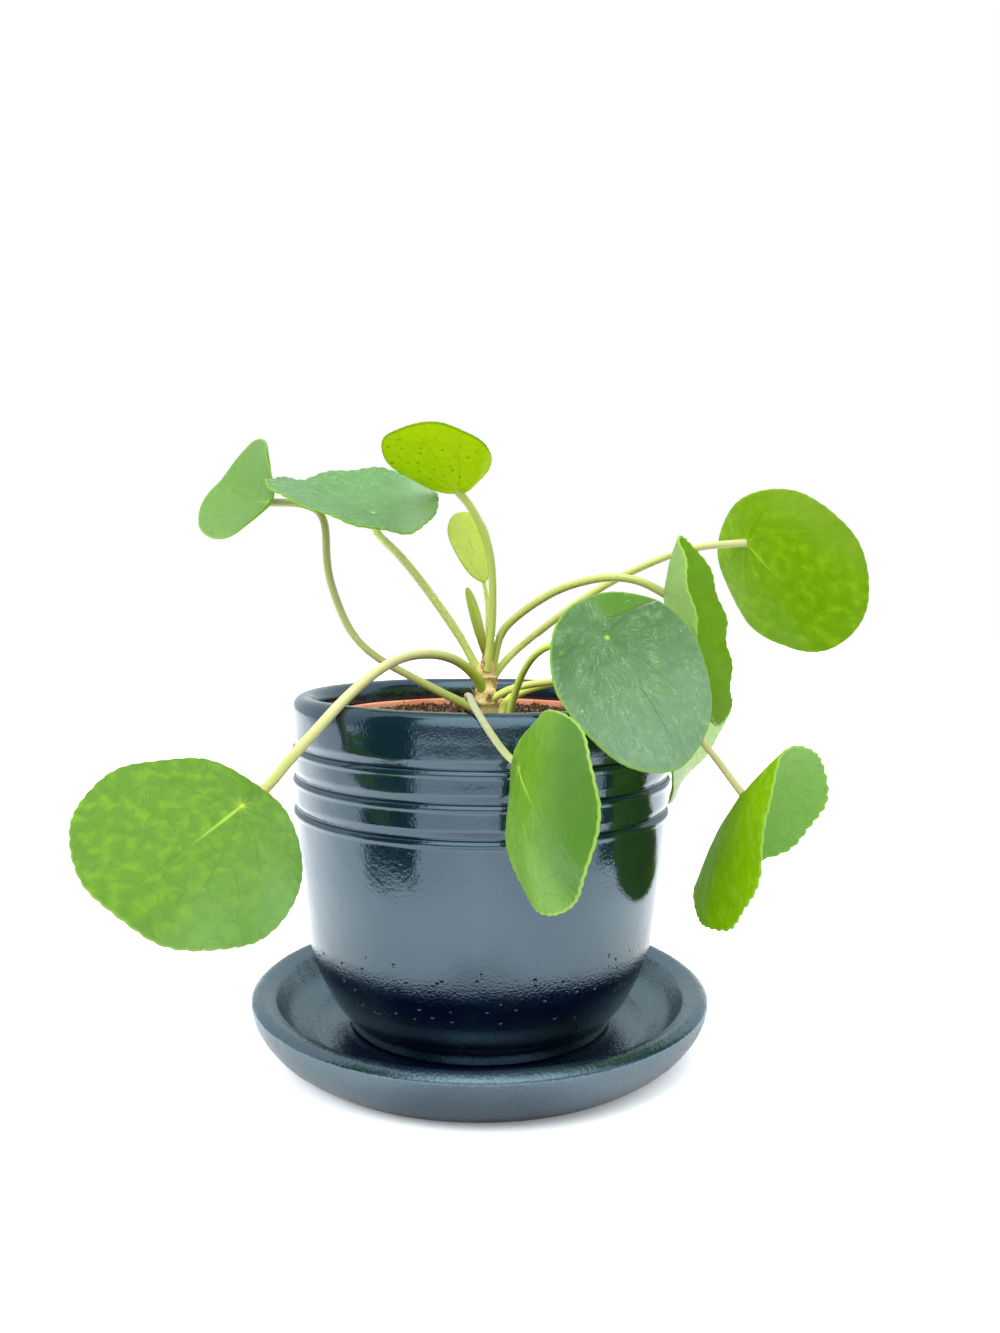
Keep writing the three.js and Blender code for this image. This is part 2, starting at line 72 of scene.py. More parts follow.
def camera_axes(pitch, yaw, roll):
    """The camera's right, up and back directions for a view along +Y that is tipped down."""
    forward = Vector((math.sin(yaw) * math.cos(pitch), math.cos(yaw) * math.cos(pitch),
                      -math.sin(pitch)))
    right = forward.cross(Vector((0, 0, 1))).normalized()
    up = right.cross(forward)
    side = right * math.cos(roll) + up * math.sin(roll)
    top = up * math.cos(roll) - right * math.sin(roll)
    return Matrix((side, top, -forward)).transposed().to_4x4()


def add_camera():
    data = bpy.data.cameras.new("plant_camera")
    data.sensor_fit = "AUTO"
    data.sensor_width = SENSOR_MM
    data.lens = FOCAL_PIXELS * SENSOR_MM / LONG_SIDE_PIXELS
    camera = bpy.data.objects.new("plant_camera", data)
    place = Matrix.Translation((0, -CAMERA_DISTANCE, CAMERA_HEIGHT))
    camera.matrix_world = place @ camera_axes(CAMERA_PITCH, CAMERA_YAW, CAMERA_ROLL)
    bpy.context.scene.collection.objects.link(camera)
    bpy.context.scene.camera = camera
    return camera


camera = add_camera()
print("lens:", round(camera.data.lens, 2), "mm")


# %% [markdown]
# ## Helpers for meshes and shader nodes
#
# Every piece below is a list of points and faces in millimetres. One helper turns them into an
# object that sits at the origin in metres. Others keep the shader code short: they add a node and
# fill its inputs, each with a value or with another node's output, or they give in one call what
# the finishes need again and again, such as a noise, a bump or a span stretched over another.

# %% Helpers for pieces
def colour(red, green, blue):
    """A screen colour of 0 to 255 a channel, as the linear values that a shader wants."""
    def linear(value):
        share = value / 255
        return share / 12.92 if share <= 0.04045 else ((share + 0.055) / 1.055) ** 2.4
    return (linear(red), linear(green), linear(blue), 1.0)


def mesh_piece(name, points, faces, materials, face_material=None):
    """A smooth-shaded object from points in mm and faces, with its materials."""
    mesh = bpy.data.meshes.new(name)
    mesh.from_pydata((np.asarray(points) * MM).tolist(), [], faces)
    for material in materials:
        mesh.materials.append(material)
    if face_material is not None:
        mesh.polygons.foreach_set("material_index", np.asarray(face_material, dtype=np.int32))
    mesh.polygons.foreach_set("use_smooth", np.ones(len(mesh.polygons), dtype=bool))
    mesh.update()
    piece = bpy.data.objects.new(name, mesh)
    bpy.context.scene.collection.objects.link(piece)
    return piece


def dress(piece, slot, *nodes):
    """The piece rides on the plant's one body and stands for its nodes, which it hides. slot is not
    used.
    """
    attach(piece, "root")
    if nodes:
        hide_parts(*nodes)
    print(f"{piece.name}: {len(piece.data.polygons)} faces")


print("mid grey as a shader counts it:", round(colour(128, 128, 128)[0], 3))


# %% Helpers for nodes
def fill(tree, made, inputs):
    """Sets a node's inputs, by name or by number, to values or to other nodes' outputs."""
    for key, value in inputs.items():
        if isinstance(value, bpy.types.NodeSocket):
            tree.links.new(value, made.inputs[key])
        else:
            made.inputs[key].default_value = value


def node(tree, kind, inputs=None, **settings):
    """Adds a node, sets its properties and then its inputs."""
    made = tree.nodes.new(kind)
    for key, value in settings.items():
        setattr(made, key, value)
    fill(tree, made, inputs or {})
    return made


def maths(tree, operation, *values, clamp=False):
    """A Math node's output. Its values are numbers or the outputs of other nodes."""
    made = node(tree, "ShaderNodeMath", dict(enumerate(values)), operation=operation, use_clamp=clamp)
    return made.outputs[0]


def split(tree, vector):
    """A vector's three parts, as outputs named X, Y and Z."""
    return node(tree, "ShaderNodeSeparateXYZ", {0: vector}).outputs


def blend_colour(tree, share, first, second):
    """Goes from the first colour to the second by a share of 0 to 1."""
    return node(tree, "ShaderNodeMix", {0: share, 6: first, 7: second}, data_type="RGBA").outputs[2]


def remap(tree, value, low, high, to_low=0.0, to_high=1.0):
    """Stretches the span from low to high smoothly over a new span, and holds it there."""
    made = node(tree, "ShaderNodeMapRange",
                {"Value": value, "From Min": low, "From Max": high, "To Min": to_low,
                 "To Max": to_high}, interpolation_type="SMOOTHSTEP")
    return made.outputs["Result"]


def new_material(name):
    material = bpy.data.materials.new(name)
    material.use_nodes = True
    tree = material.node_tree
    return material, tree, tree.nodes["Principled BSDF"]


def object_place(tree):
    """The object's own coordinates, in metres."""
    return node(tree, "ShaderNodeTexCoord").outputs["Object"]


def noise(tree, place, scale, detail=2.0, roughness=0.5):
    """Soft noise. Its scale is about the number of lumps along one unit of the place."""
    made = node(tree, "ShaderNodeTexNoise", {"Vector": place, "Scale": scale, "Detail": detail,
                                            "Roughness": roughness})
    return made.outputs["Fac"]


def bump(tree, height, distance, strength, below=None):
    """Bumps of a depth in metres, laid over the bumps below."""
    inputs = {"Height": height, "Distance": distance, "Strength": strength}
    if below is not None:
        inputs["Normal"] = below
    return node(tree, "ShaderNodeBump", inputs).outputs["Normal"]


# %% [markdown]
# ## Turned pottery
#
# The saucer and both pots are round, so each is a profile of radius and height spun about the
# upright axis. The Screw modifier could spin a curve, but a loop of our own closes the poles and
# lets us push single points in and out afterwards, for pits and runs of paint. The corners of a
# real pot are never sharp, so each corner of the profile is rounded with a short arc first.

# %% Profiles
ARC_POINTS = 5


def through(pairs, steps):
    """Points of a smooth curve through the given pairs, as the measured model has it."""
    pairs = np.array(pairs, dtype=float)
    last = len(pairs) - 1
    curve = []
    for t in np.linspace(0, last, steps + 1):
        i = min(int(t), last - 1)
        w = t - i
        before, start, end, after = (pairs[min(max(k, 0), last)] for k in (i - 1, i, i + 1, i + 2))
        pull, push = (end - before) / 2, (after - start) / 2
        curve.append((2 * start - 2 * end + pull + push) * w ** 3
                     + (3 * end - 3 * start - 2 * pull - push) * w ** 2 + pull * w + start)
    return [tuple(pair) for pair in curve]


def rounded(corners):
    """Replaces each corner (radius, height, rounding) by a short arc. Rounding 0 keeps it."""
    line = []
    for i, (r, z, size) in enumerate(corners):
        here = np.array([r, z])
        if size == 0 or i in (0, len(corners) - 1):
            line.append(tuple(here))
            continue
        back = np.array(corners[i - 1][:2]) - here
        ahead = np.array(corners[i + 1][:2]) - here
        reach = min(size, np.linalg.norm(back) / 2.2, np.linalg.norm(ahead) / 2.2)
        start = here + back / np.linalg.norm(back) * reach
        end = here + ahead / np.linalg.norm(ahead) * reach
        for w in np.linspace(0, 1, ARC_POINTS):
            line.append(tuple((1 - w) ** 2 * start + 2 * w * (1 - w) * here + w ** 2 * end))
    return line


def evenly(profile, longest):
    """Splits the long steps of a profile, so that bumps have points to move."""
    line = [profile[0]]
    for end in profile[1:]:
        start = np.array(line[-1])
        count = max(1, math.ceil(np.linalg.norm(np.array(end) - start) / longest))
        line += [tuple(start + (np.array(end) - start) * k / count) for k in range(1, count + 1)]
    return line


print("a rounded corner is", len(rounded([(0, 0, 0), (10, 0, 2), (10, 10, 0)])) - 2, "points")


# %% Spinning a profile
def spin(name, profile, around, material, push=None):
    """Spins a profile that starts and ends on the axis. push gives how far points move out."""
    profile = np.array(profile)
    turns = 2 * math.pi * np.arange(around) / around
    inner = profile[1:-1]
    step = np.gradient(profile, axis=0)[1:-1]
    out = np.stack([step[:, 1], -step[:, 0]], axis=1)
    out /= np.linalg.norm(out, axis=1, keepdims=True)
    ways = np.stack([np.cos(turns), np.sin(turns)], axis=1)

    def swept(pairs):
        flat = pairs[:, None, 0, None] * ways[None, :, :]
        height = np.broadcast_to(pairs[:, None, 1, None], flat.shape[:2] + (1,))
        return np.concatenate([flat, height], axis=2)

    points = swept(inner)
    if push is not None:
        points = points + push(points)[..., None] * swept(out)
    rows = len(inner)
    points = points.reshape(-1, 3)
    first, last = len(points), len(points) + 1
    points = np.vstack([points, [[0, 0, profile[0, 1]], [0, 0, profile[-1, 1]]]])
    faces = []
    for i in range(rows - 1):
        for j in range(around):
            k = (j + 1) % around
            faces.append((i * around + j, i * around + k, (i + 1) * around + k, (i + 1) * around + j))
    for j in range(around):
        k = (j + 1) % around
        faces.append((first, k, j))
        faces.append((last, (rows - 1) * around + j, (rows - 1) * around + k))
    return mesh_piece(name, points, faces, [material])


# %% [markdown]
# ## Marks of the hand
#
# No pot is quite round. Its wall swings in and out over a few centimetres, the brush leaves finer
# waves, and here and there sit a pit or a thick run of paint. A Noise texture with a Displace
# modifier could do the waves, but a sum of sine waves with a seed gives the same bumps wherever
# it is asked for them, and single marks can be set by compass angle and height.

# %% Ripples, pits and runs
FIELD_WAVES = 14


def ripple_field(seed, size):
    """A smooth, repeatable field of bumps about size mm across, between about -1 and 1."""
    draw = np.random.default_rng(seed)
    pushes = draw.normal(size=(FIELD_WAVES, 3)) * (2.2 / size)
    starts = draw.uniform(0, 2 * math.pi, FIELD_WAVES)

    def field(points):
        return np.sin(points @ pushes.T + starts).sum(axis=-1) / math.sqrt(FIELD_WAVES)
    return field


def ripples(points, layers):
    """Adds up fields of bumps. Each layer has a seed, and a size and a height in mm."""
    return sum(height * ripple_field(seed, size)(points) for seed, size, height in layers)


def spot(points, radius, compass, height, size):
    """A soft round spot on a wall of that radius: 1 in its middle, 0 outside."""
    angle = np.degrees(np.arctan2(points[..., 1], points[..., 0]))
    across = np.radians((angle - compass + 180) % 360 - 180) * radius
    distance = np.hypot(across, points[..., 2] - height)
    at_wall = np.hypot(points[..., 0], points[..., 1]) > 0.9 * radius
    return np.exp(-(distance / size) ** 2) * at_wall


def marked(moved, points, radius, marks, share=1):
    """Adds marks to how far a wall's points move out. Each mark has a compass angle in degrees and
    a height, a size and a depth in mm. A pit's depth is below 0 and a run of paint's above."""
    for compass, height, size, depth in marks:
        moved = moved + depth * spot(points, radius, compass, height, size) * share
    return moved


print("waves in a field of ripples:", FIELD_WAVES)


# %% [markdown]
# ## Painted ceramic
#
# Pot and saucer are brushed with one thick coat of dark slate-blue paint. It is nearly black
# where it reflects something dark, and grey-blue where it reflects the pale floor, so most of
# its look is a strong bluish gloss over a very dark colour. A high index of refraction gives that
# gloss, and the specular tint makes it blue. Fine orange-peel bumps break the edges of the
# reflections, and thin noise in the roughness leaves duller patches, as a brushed coat has. A
# rougher bump in a band of heights below the rim is where the paint ran and dried in beads. Low on
# the bowl, another band has grit under the paint and a few round pits.

# %% Painted ceramic
PAINT = (0.0006, 0.0022, 0.011, 1.0)
PAINT_WORN = (0.004, 0.009, 0.015, 1.0)
PAINT_SHEEN = (0.61, 0.84, 0.97, 1.0)
PAINT_GLOSS = 1.97
SAUCER_GLOSS = 2.4
# Scale, detail and roughness of each noise in the paint
PAINT_NOISES = {"patches": (38, 3), "specks": (900, 2), "waves": (90, 1), "peel": (800, 2, 0.55),
                "beads": (1300, 1), "grit": (1400, 2)}
# Lowest and highest height of the two rough bands, and how far each eases in and out
RUNS_BAND = (113, 120.5, 3, 2)
GRIT_BAND = (22, 50, 6, 12)
RUNS_PATCHY = (0.42, 0.6)
PIT_SPACING = 4.0
PIT_RADIUS = 0.6
# Where a dot is full and where it ends, as shares of its radius
DOT_EDGE = (0.5, 1.3)
# Depth in metres and strength of each layer of bumps
WAVE_METRES = 0.0011
PEEL_METRES = 0.0002
GRIT_BUMP = (0.0005, 0.3)
PIT_BUMP = (0.0006, 1.0)
RUNS_BUMP = (0.0004, 0.45)


def band(tree, height, low, high, rise, fall):
    """1 between two heights in mm, easing to 0 over a rise at its foot and a fall at its top."""
    return maths(tree, "MULTIPLY", remap(tree, height, low * MM, (low + rise) * MM),
                 remap(tree, height, high * MM, (high - fall) * MM))


def round_dots(tree, place, unit, gap, radius, most):
    """Round dots, one to each patch as wide as the gap, with a value of most inside and 0 outside.
    Gap and radius are in mm, and unit is how many mm one unit of the place is."""
    near = node(tree, "ShaderNodeTexVoronoi", {"Vector": place, "Scale": unit / gap})
    inner, outer = (share * radius / gap for share in DOT_EDGE)
    return remap(tree, near.outputs["Distance"], inner, outer, most, 0.0)


def painted_ceramic(name, gloss, gloss_break, wave_depth, peel_depth):
    """Slate paint. gloss is its index of refraction, and gloss_break roughens the shine.
    wave_depth is the strength of its brush marks, and peel_depth that of its orange peel."""
    material, tree, shader = new_material(name)
    place = object_place(tree)
    height = split(tree, place)["Z"]
    noises = {kind: noise(tree, place, *facts) for kind, facts in PAINT_NOISES.items()}
    worn = remap(tree, noises["patches"], 0.5, 0.8)
    dull = maths(tree, "ADD", remap(tree, noises["patches"], 0.35, 0.7, gloss_break, gloss_break + 0.06),
                 remap(tree, noises["specks"], 0.3, 0.7, -0.02, 0.05))
    waves = bump(tree, noises["waves"], WAVE_METRES, wave_depth)
    peel = bump(tree, noises["peel"], PEEL_METRES, peel_depth, waves)
    low = band(tree, height, *GRIT_BAND)
    grit = bump(tree, maths(tree, "MULTIPLY", low, noises["grit"]), *GRIT_BUMP, peel)
    pits = round_dots(tree, place, 1 / MM, PIT_SPACING, PIT_RADIUS, -1.0)
    pitted = bump(tree, maths(tree, "MULTIPLY", low, pits), *PIT_BUMP, grit)
    here = maths(tree, "MULTIPLY", band(tree, height, *RUNS_BAND),
                 remap(tree, noises["patches"], *RUNS_PATCHY))
    runs = bump(tree, maths(tree, "MULTIPLY", here, noises["beads"]), *RUNS_BUMP, pitted)
    fill(tree, shader, {"Base Color": blend_colour(tree, worn, PAINT, PAINT_WORN), "Roughness": dull,
                        "Normal": runs, "IOR": gloss, "Specular Tint": PAINT_SHEEN})
    return material


pot_paint = painted_ceramic("slate_paint_pot", PAINT_GLOSS, gloss_break=0.09, wave_depth=0.05,
                            peel_depth=0.3)
saucer_paint = painted_ceramic("slate_paint_saucer", SAUCER_GLOSS, gloss_break=0.21, wave_depth=0.16,
                               peel_depth=1.0)
print("finishes:", pot_paint.name, saucer_paint.name)


# %% [markdown]
# ## Saucer
#
# The saucer is a heavy dish with a broad, rounded rim. Its profile repeats the driving sizes of
# the measured model in millimetres, with more points along the curves. A slow ripple keeps the
# hand-made rim from being a perfect circle, and a few pits and a chip sit where the photograph
# shows them.

# %% Saucer
WELL_HEIGHT = 8.5
# Radius and height, and at a corner its rounding
SAUCER_BASE = [(0, 0, 0), (64, 0, 1.0)]
SAUCER_SIDE = [(65.5, 0.6), (72.3, 5.2), (77.4, 12), (79.2, 17.5)]
SAUCER_RIM = [(78.6, 19.6), (75.5, 20.8), (71, 19)]
SAUCER_WELL = [(66, 11.5, 2.5), (60, 9, 1.2), (58, WELL_HEIGHT, 0.6), (0, WELL_HEIGHT, 0)]
SAUCER_WALL = 75
WAVY_FROM = 60
WAVY_EASE = 12
SAUCER_PITS = [(-82, 9.5, 1.1, -0.5), (-76, 8, 0.6, -0.35), (-142, 17.5, 1.6, -0.45),
               (-121, 11, 1.4, 0.3), (-60, 13, 0.7, -0.3), (-38, 8, 0.9, -0.3), (60, 11, 1.0, -0.4),
               (150, 9, 0.8, -0.35)]
SAUCER_RIPPLES = [(11, 34, 0.16), (12, 3.5, 0.035)]
SAUCER_CURVE_STEPS = 36
SAUCER_STEP = 1.4
AROUND_POT = 300


def saucer_profile():
    side = [(r, z, 0) for r, z in through(SAUCER_SIDE + SAUCER_RIM, SAUCER_CURVE_STEPS)]
    return evenly(rounded(SAUCER_BASE + side + SAUCER_WELL), SAUCER_STEP)


def saucer_push(points):
    rim = np.clip((np.hypot(points[..., 0], points[..., 1]) - WAVY_FROM) / WAVY_EASE, 0, 1)
    moved = rim * ripples(points, SAUCER_RIPPLES)
    return marked(moved, points, SAUCER_WALL, SAUCER_PITS)


saucer = spin("painted_saucer", saucer_profile(), AROUND_POT, saucer_paint, saucer_push)
dress(saucer, "pot_paint", "saucer")


# %% [markdown]
# ## Cover pot
#
# The cover pot is a deep bowl with a short foot ring, a thick rolled rim and three grooves. Each
# groove is cut square at its lower edge, which leaves a thin ledge that catches the light. The
# rounding of each ledge is what makes that bright line, so it is part of the mesh. Paint has
# gathered and run just below the rim at the front, and pits show low on the wall.

# %% Cover pot
GROOVE_HEIGHTS = [84.8, 95.5, 105.7]
GROOVE_DEPTH = 1.1
GROOVE_TALL = 3.2
GROOVE_BEAD = 0.5
POT_BOTTOM = WELL_HEIGHT + 0.3
FOOT_RECESS = 1.8
FOOT_RING = [(37.9, FOOT_RECESS, 0.8), (38.8, 0, 0.6), (45.4, 0, 0.9)]
POT_BOWL = [(46, 12.3), (52.3, 20), (58.7, 36), (62, 58), (64.4, 82)]
POT_INSIDE = [(56.4, 96), (54.6, 62), (49.2, 34), (42.5, 20.5)]
POT_RIM = {"outer": 65.3, "mouth": 56.8, "start": 116.6, "top": 122.6}
POT_FLOOR = (38.8, 16)
POT_CURVE_STEPS = {"bowl": 60, "inside": 30}
POT_STEP = 1.9
RIM_POINTS = 25
RIM_SQUARE = 0.82
POT_RIPPLES = [(21, 40, 0.13), (22, 9, 0.03), (23, 2.6, 0.012)]
PITTED_WALL = 62
RUNS_WALL = 65
RUN_BREAKS = (23, 2.6)
INSIDE_RADIUS = 57.5
POT_PITS = [(-92, 31.5, 0.9, -0.5), (-89.5, 29.5, 1.3, -0.55), (-66, 35, 0.6, -0.3),
            (-57, 32, 0.7, -0.3), (-48, 50, 0.5, -0.3), (-133, 60, 0.6, -0.35), (-38, 33, 0.8, -0.35),
            (-112, 47, 0.5, -0.25), (20, 42, 0.9, -0.4), (75, 56, 0.8, -0.35), (118, 35, 1.0, -0.45),
            (172, 48, 0.7, -0.35)]
PAINT_RUNS = [(-103, 115, 1.6, 0.2), (-94.5, 114.6, 1.5, 0.22), (-85.5, 115, 1.6, 0.2),
              (35, 115, 2.2, 0.3), (140, 114, 2.4, 0.32)]


def groove_corners(slope):
    """Each groove has a bead under its ledge, and a wall above it that eases back to the slope."""
    corners = []
    for z in GROOVE_HEIGHTS:
        wall = POT_BOWL[-1][0] + slope * (z - POT_BOWL[-1][1])
        corners += [(wall, z - 2.3, 0.8), (wall + GROOVE_BEAD, z - 1.2, 0.9), (wall - 0.1, z - 0.1, 0.8),
                    (wall - GROOVE_DEPTH, z + 0.4, 0.5), (wall - 0.5, z + 1.9, 0.9),
                    (wall + slope * GROOVE_TALL, z + GROOVE_TALL, 0.9)]
    return corners


def rim_corners():
    """The rolled rim: half an oval, a little squarer than a true one."""
    half = (POT_RIM["outer"] - POT_RIM["mouth"]) / 2
    tall = POT_RIM["top"] - POT_RIM["start"]
    corners = []
    for angle in np.linspace(0, math.pi, RIM_POINTS):
        out = math.copysign(abs(math.cos(angle)) ** RIM_SQUARE, math.cos(angle))
        corners.append((POT_RIM["mouth"] + half + half * out,
                        POT_RIM["start"] + tall * math.sin(angle) ** RIM_SQUARE, 0))
    return corners


def pot_profile():
    slope = (POT_RIM["outer"] - POT_BOWL[-1][0]) / (POT_RIM["start"] - POT_BOWL[-1][1])
    corners = [(0, POT_BOTTOM + FOOT_RECESS, 0)]
    corners += [(r, POT_BOTTOM + z, size) for r, z, size in FOOT_RING]
    corners += [(r, z, 0) for r, z in through(POT_BOWL, POT_CURVE_STEPS["bowl"])[1:]]
    corners += groove_corners(slope) + rim_corners()
    corners += [(r, z, 0) for r, z in through(POT_INSIDE, POT_CURVE_STEPS["inside"])]
    corners += [(*POT_FLOOR, 1.5), (0, POT_FLOOR[1], 0)]
    return evenly(rounded(corners), POT_STEP)


def pot_push(points):
    outside = np.hypot(points[..., 0], points[..., 1]) > INSIDE_RADIUS
    moved = marked(ripples(points, POT_RIPPLES) * outside, points, PITTED_WALL, POT_PITS)
    uneven = 0.6 + 0.4 * ripple_field(*RUN_BREAKS)(points)
    return marked(moved, points, RUNS_WALL, PAINT_RUNS, uneven)


cover_pot = spin("painted_pot", pot_profile(), AROUND_POT, pot_paint, pot_push)
dress(cover_pot, "pot_paint", "cover_pot")


# %% [markdown]
# ## Nursery pot
#
# The plant still stands in the thin plastic pot that it was sold in. Only its rolled rim shows,
# terracotta orange and dusty from the soil. Dust is a mask by height: it is thickest where the
# soil touches the plastic, just under the rim.

# %% Nursery pot
NURSERY = {"bottom": 16.3, "foot": 37, "top": 115.6, "wall_top": 51, "rim": 53.5, "rim_low": 110.8,
           "wall": 1.4, "rim_wall": 2.2}
NURSERY_STEP = 4
AROUND_NURSERY = 192
NURSERY_WAVY_FROM = 100
NURSERY_WAVY_EASE = 12
NURSERY_WAVES = 0.1
DUST_FROM = 112.2
DUST_TO = 115.2
DUST_SHARES = (0.75, 0.05)
TERRACOTTA = colour(202, 118, 80)
TERRACOTTA_PALE = colour(214, 148, 114)
DUST = colour(92, 66, 46)


def terracotta_plastic():
    material, tree, shader = new_material("terracotta_plastic")
    place = object_place(tree)
    patches, grains = noise(tree, place, 60, 3), noise(tree, place, 700, 3, 0.6)
    base = blend_colour(tree, remap(tree, patches, 0.35, 0.7), TERRACOTTA, TERRACOTTA_PALE)
    low = remap(tree, split(tree, place)["Z"], DUST_FROM * MM, DUST_TO * MM, *DUST_SHARES)
    dusty = maths(tree, "MULTIPLY", low, remap(tree, grains, 0.35, 0.6))
    fill(tree, shader, {"Base Color": blend_colour(tree, dusty, base, DUST),
                        "Roughness": remap(tree, dusty, 0, 1, 0.42, 0.85),
                        "Normal": bump(tree, grains, 0.0002, 0.5)})
    return material


def nursery_profile():
    n = NURSERY
    corners = [(0, n["bottom"], 0), (n["foot"], n["bottom"], 1.5),
               (n["wall_top"], n["rim_low"] - 0.8, 0.5), (n["rim"] - 0.35, n["rim_low"], 0.3),
               (n["rim"], n["top"] - 0.9, 0.8), (n["rim"] - 1.0, n["top"], 0.8),
               (n["rim"] - n["rim_wall"], n["top"] - 0.35, 0.5),
               (n["wall_top"] - n["wall"], n["rim_low"] - 1.6, 0.5),
               (n["foot"] - n["wall"], n["bottom"] + n["wall"], 1.2), (0, n["bottom"] + n["wall"], 0)]
    return evenly(rounded(corners), NURSERY_STEP)


def nursery_push(points):
    near_rim = np.clip((points[..., 2] - NURSERY_WAVY_FROM) / NURSERY_WAVY_EASE, 0, 1)
    return near_rim * NURSERY_WAVES * ripple_field(31, 26)(points)


plastic_pot = spin("plastic_pot", nursery_profile(), AROUND_NURSERY, terracotta_plastic(),
                   nursery_push)
dress(plastic_pot, "nursery_plastic", "nursery_pot")


# %% [markdown]
# ## Soil
#
# The soil is one body down to the floor of the nursery pot, with an uneven top. It is spun like
# the pots, and then the points of its top are set to the same sum of waves as in the measured
# model, plus finer lumps. Sculpting could make lumps too, but a formula keeps to the model's form.

# %% Soil body
SOIL = {"level": 113.2, "lump": 0.35, "mound": 1.6, "mound_width": 17, "foot": 35.3, "low": 18}
SOIL_WALL_TOP = 109.2
SOIL_EDGE = 49.3
SOIL_EDGE_EASE = 4
SOIL_LUMPS = [(41, 3.2, 0.45), (42, 1.4, 0.22)]
SOIL_RINGS = 74
SOIL_STEP = 6
AROUND_SOIL = 220
SOIL_DARK = colour(58, 40, 30)
SOIL_BROWN = colour(128, 92, 64)
SOIL_PALE = colour(168, 142, 108)


def soil_height(x, y):
    waves = np.sin(x * 0.42 + 1) * np.cos(y * 0.37) + np.sin(x * 0.19 - y * 0.53 + 2)
    mound = SOIL["mound"] * np.exp(-(x ** 2 + y ** 2) / SOIL["mound_width"] ** 2)
    return SOIL["level"] + SOIL["lump"] * waves + mound


def crumbly(name, dark, light, pale_share):
    """An earth colour that goes from dark to light in grains, with some pale fibres."""
    material, tree, shader = new_material(name)
    place = object_place(tree)
    grains = noise(tree, place, 420, 5, 0.65)
    base = blend_colour(tree, remap(tree, grains, 0.35, 0.65), dark, light)
    fibres = remap(tree, noise(tree, place, 1500, 2), 0.62, 0.72)
    pale = maths(tree, "MULTIPLY", fibres, pale_share)
    fill(tree, shader, {"Base Color": blend_colour(tree, pale, base, SOIL_PALE), "Roughness": 0.92,
                        "Specular IOR Level": 0.25, "Normal": bump(tree, grains, 0.0009, 0.9)})
    return material


potting_soil = crumbly("potting_soil", SOIL_DARK, SOIL_BROWN, 0.5)
top_rings = [(r, SOIL["level"]) for r in np.linspace(SOIL_EDGE, 0, SOIL_RINGS)]
soil_side = [(0, SOIL["low"]), (SOIL["foot"], SOIL["low"]), (SOIL_EDGE, SOIL_WALL_TOP)]
soil = spin("potting_mix", evenly(soil_side, SOIL_STEP) + top_rings, AROUND_SOIL, potting_soil)
ground = np.array([v.co for v in soil.data.vertices]) / MM
on_top = ground[:, 2] > SOIL["level"] - 0.01
inwards = np.clip((SOIL_EDGE - np.hypot(ground[:, 0], ground[:, 1])) / SOIL_EDGE_EASE, 0, 1)
level = soil_height(ground[:, 0], ground[:, 1]) + ripples(ground, SOIL_LUMPS) * inwards
ground[on_top, 2] = level[on_top]
soil.data.vertices.foreach_set("co", (ground * MM).astype(np.float32).ravel())
soil.data.update()
low, high = float(level[on_top].min()), float(level[on_top].max())
print("soil stands", round(low, 1), "to", round(high, 1), "mm high")


# %% [markdown]
# ## Loose bits on the soil
#
# Bark flakes, peat crumbs and pale fibres lie on the soil. They repeat a few small shapes, which
# is work for Geometry Nodes: points are scattered on the upward faces with a fixed seed, and each
# point gets a crumb with its own turn and size. Particles could scatter them too, but a node tree
# shows each of its steps, and its result can be kept as a plain mesh.

# %% Crumb shapes and helpers for Geometry Nodes
def crumb_shape(name, stretch, material, seed):
    """A small angular lump of twenty faces, about 1 mm across before it is scaled."""
    shape = bmesh.new()
    bmesh.ops.create_icosphere(shape, subdivisions=1, radius=0.5 * MM)
    draw = np.random.default_rng(seed)
    for corner in shape.verts:
        corner.co = corner.co * (1 + 0.35 * draw.uniform(-1, 1))
        corner.co = Vector([part * factor for part, factor in zip(corner.co, stretch)])
    mesh = bpy.data.meshes.new(name)
    shape.to_mesh(mesh)
    shape.free()
    mesh.materials.append(material)
    crumb = bpy.data.objects.new(name, mesh)
    bpy.context.scene.collection.objects.link(crumb)
    return crumb


def new_group(name, kind, inputs, outputs):
    """A node tree of a kind with these inputs and outputs, each with a title and a socket type."""
    group = bpy.data.node_groups.new(name, kind)
    for way, sockets in (("INPUT", inputs), ("OUTPUT", outputs)):
        for title, value in sockets.items():
            group.interface.new_socket(title, in_out=way, socket_type="NodeSocket" + value)
    return group


def socket_id(group, name):
    """The identifier of a group's input, which is what a modifier's setting goes by."""
    return next(item.identifier for item in group.interface.items_tree
                if item.item_type == "SOCKET" and item.in_out == "INPUT" and item.name == name)


def grown(source, group, settings, name):
    """Runs a tree on an object with these settings and returns the result as a plain mesh."""
    modifier = source.modifiers.new("grow", "NODES")
    modifier.node_group = group
    for title, value in settings.items():
        modifier[socket_id(group, title)] = value
    seen = source.evaluated_get(bpy.context.evaluated_depsgraph_get())
    mesh = bpy.data.meshes.new_from_object(seen)
    mesh.name = name
    source.modifiers.remove(modifier)
    piece = bpy.data.objects.new(name, mesh)
    bpy.context.scene.collection.objects.link(piece)
    return piece


# %% Scatter tree
UPWARD = 0.55
FULL_TURN = 6.28


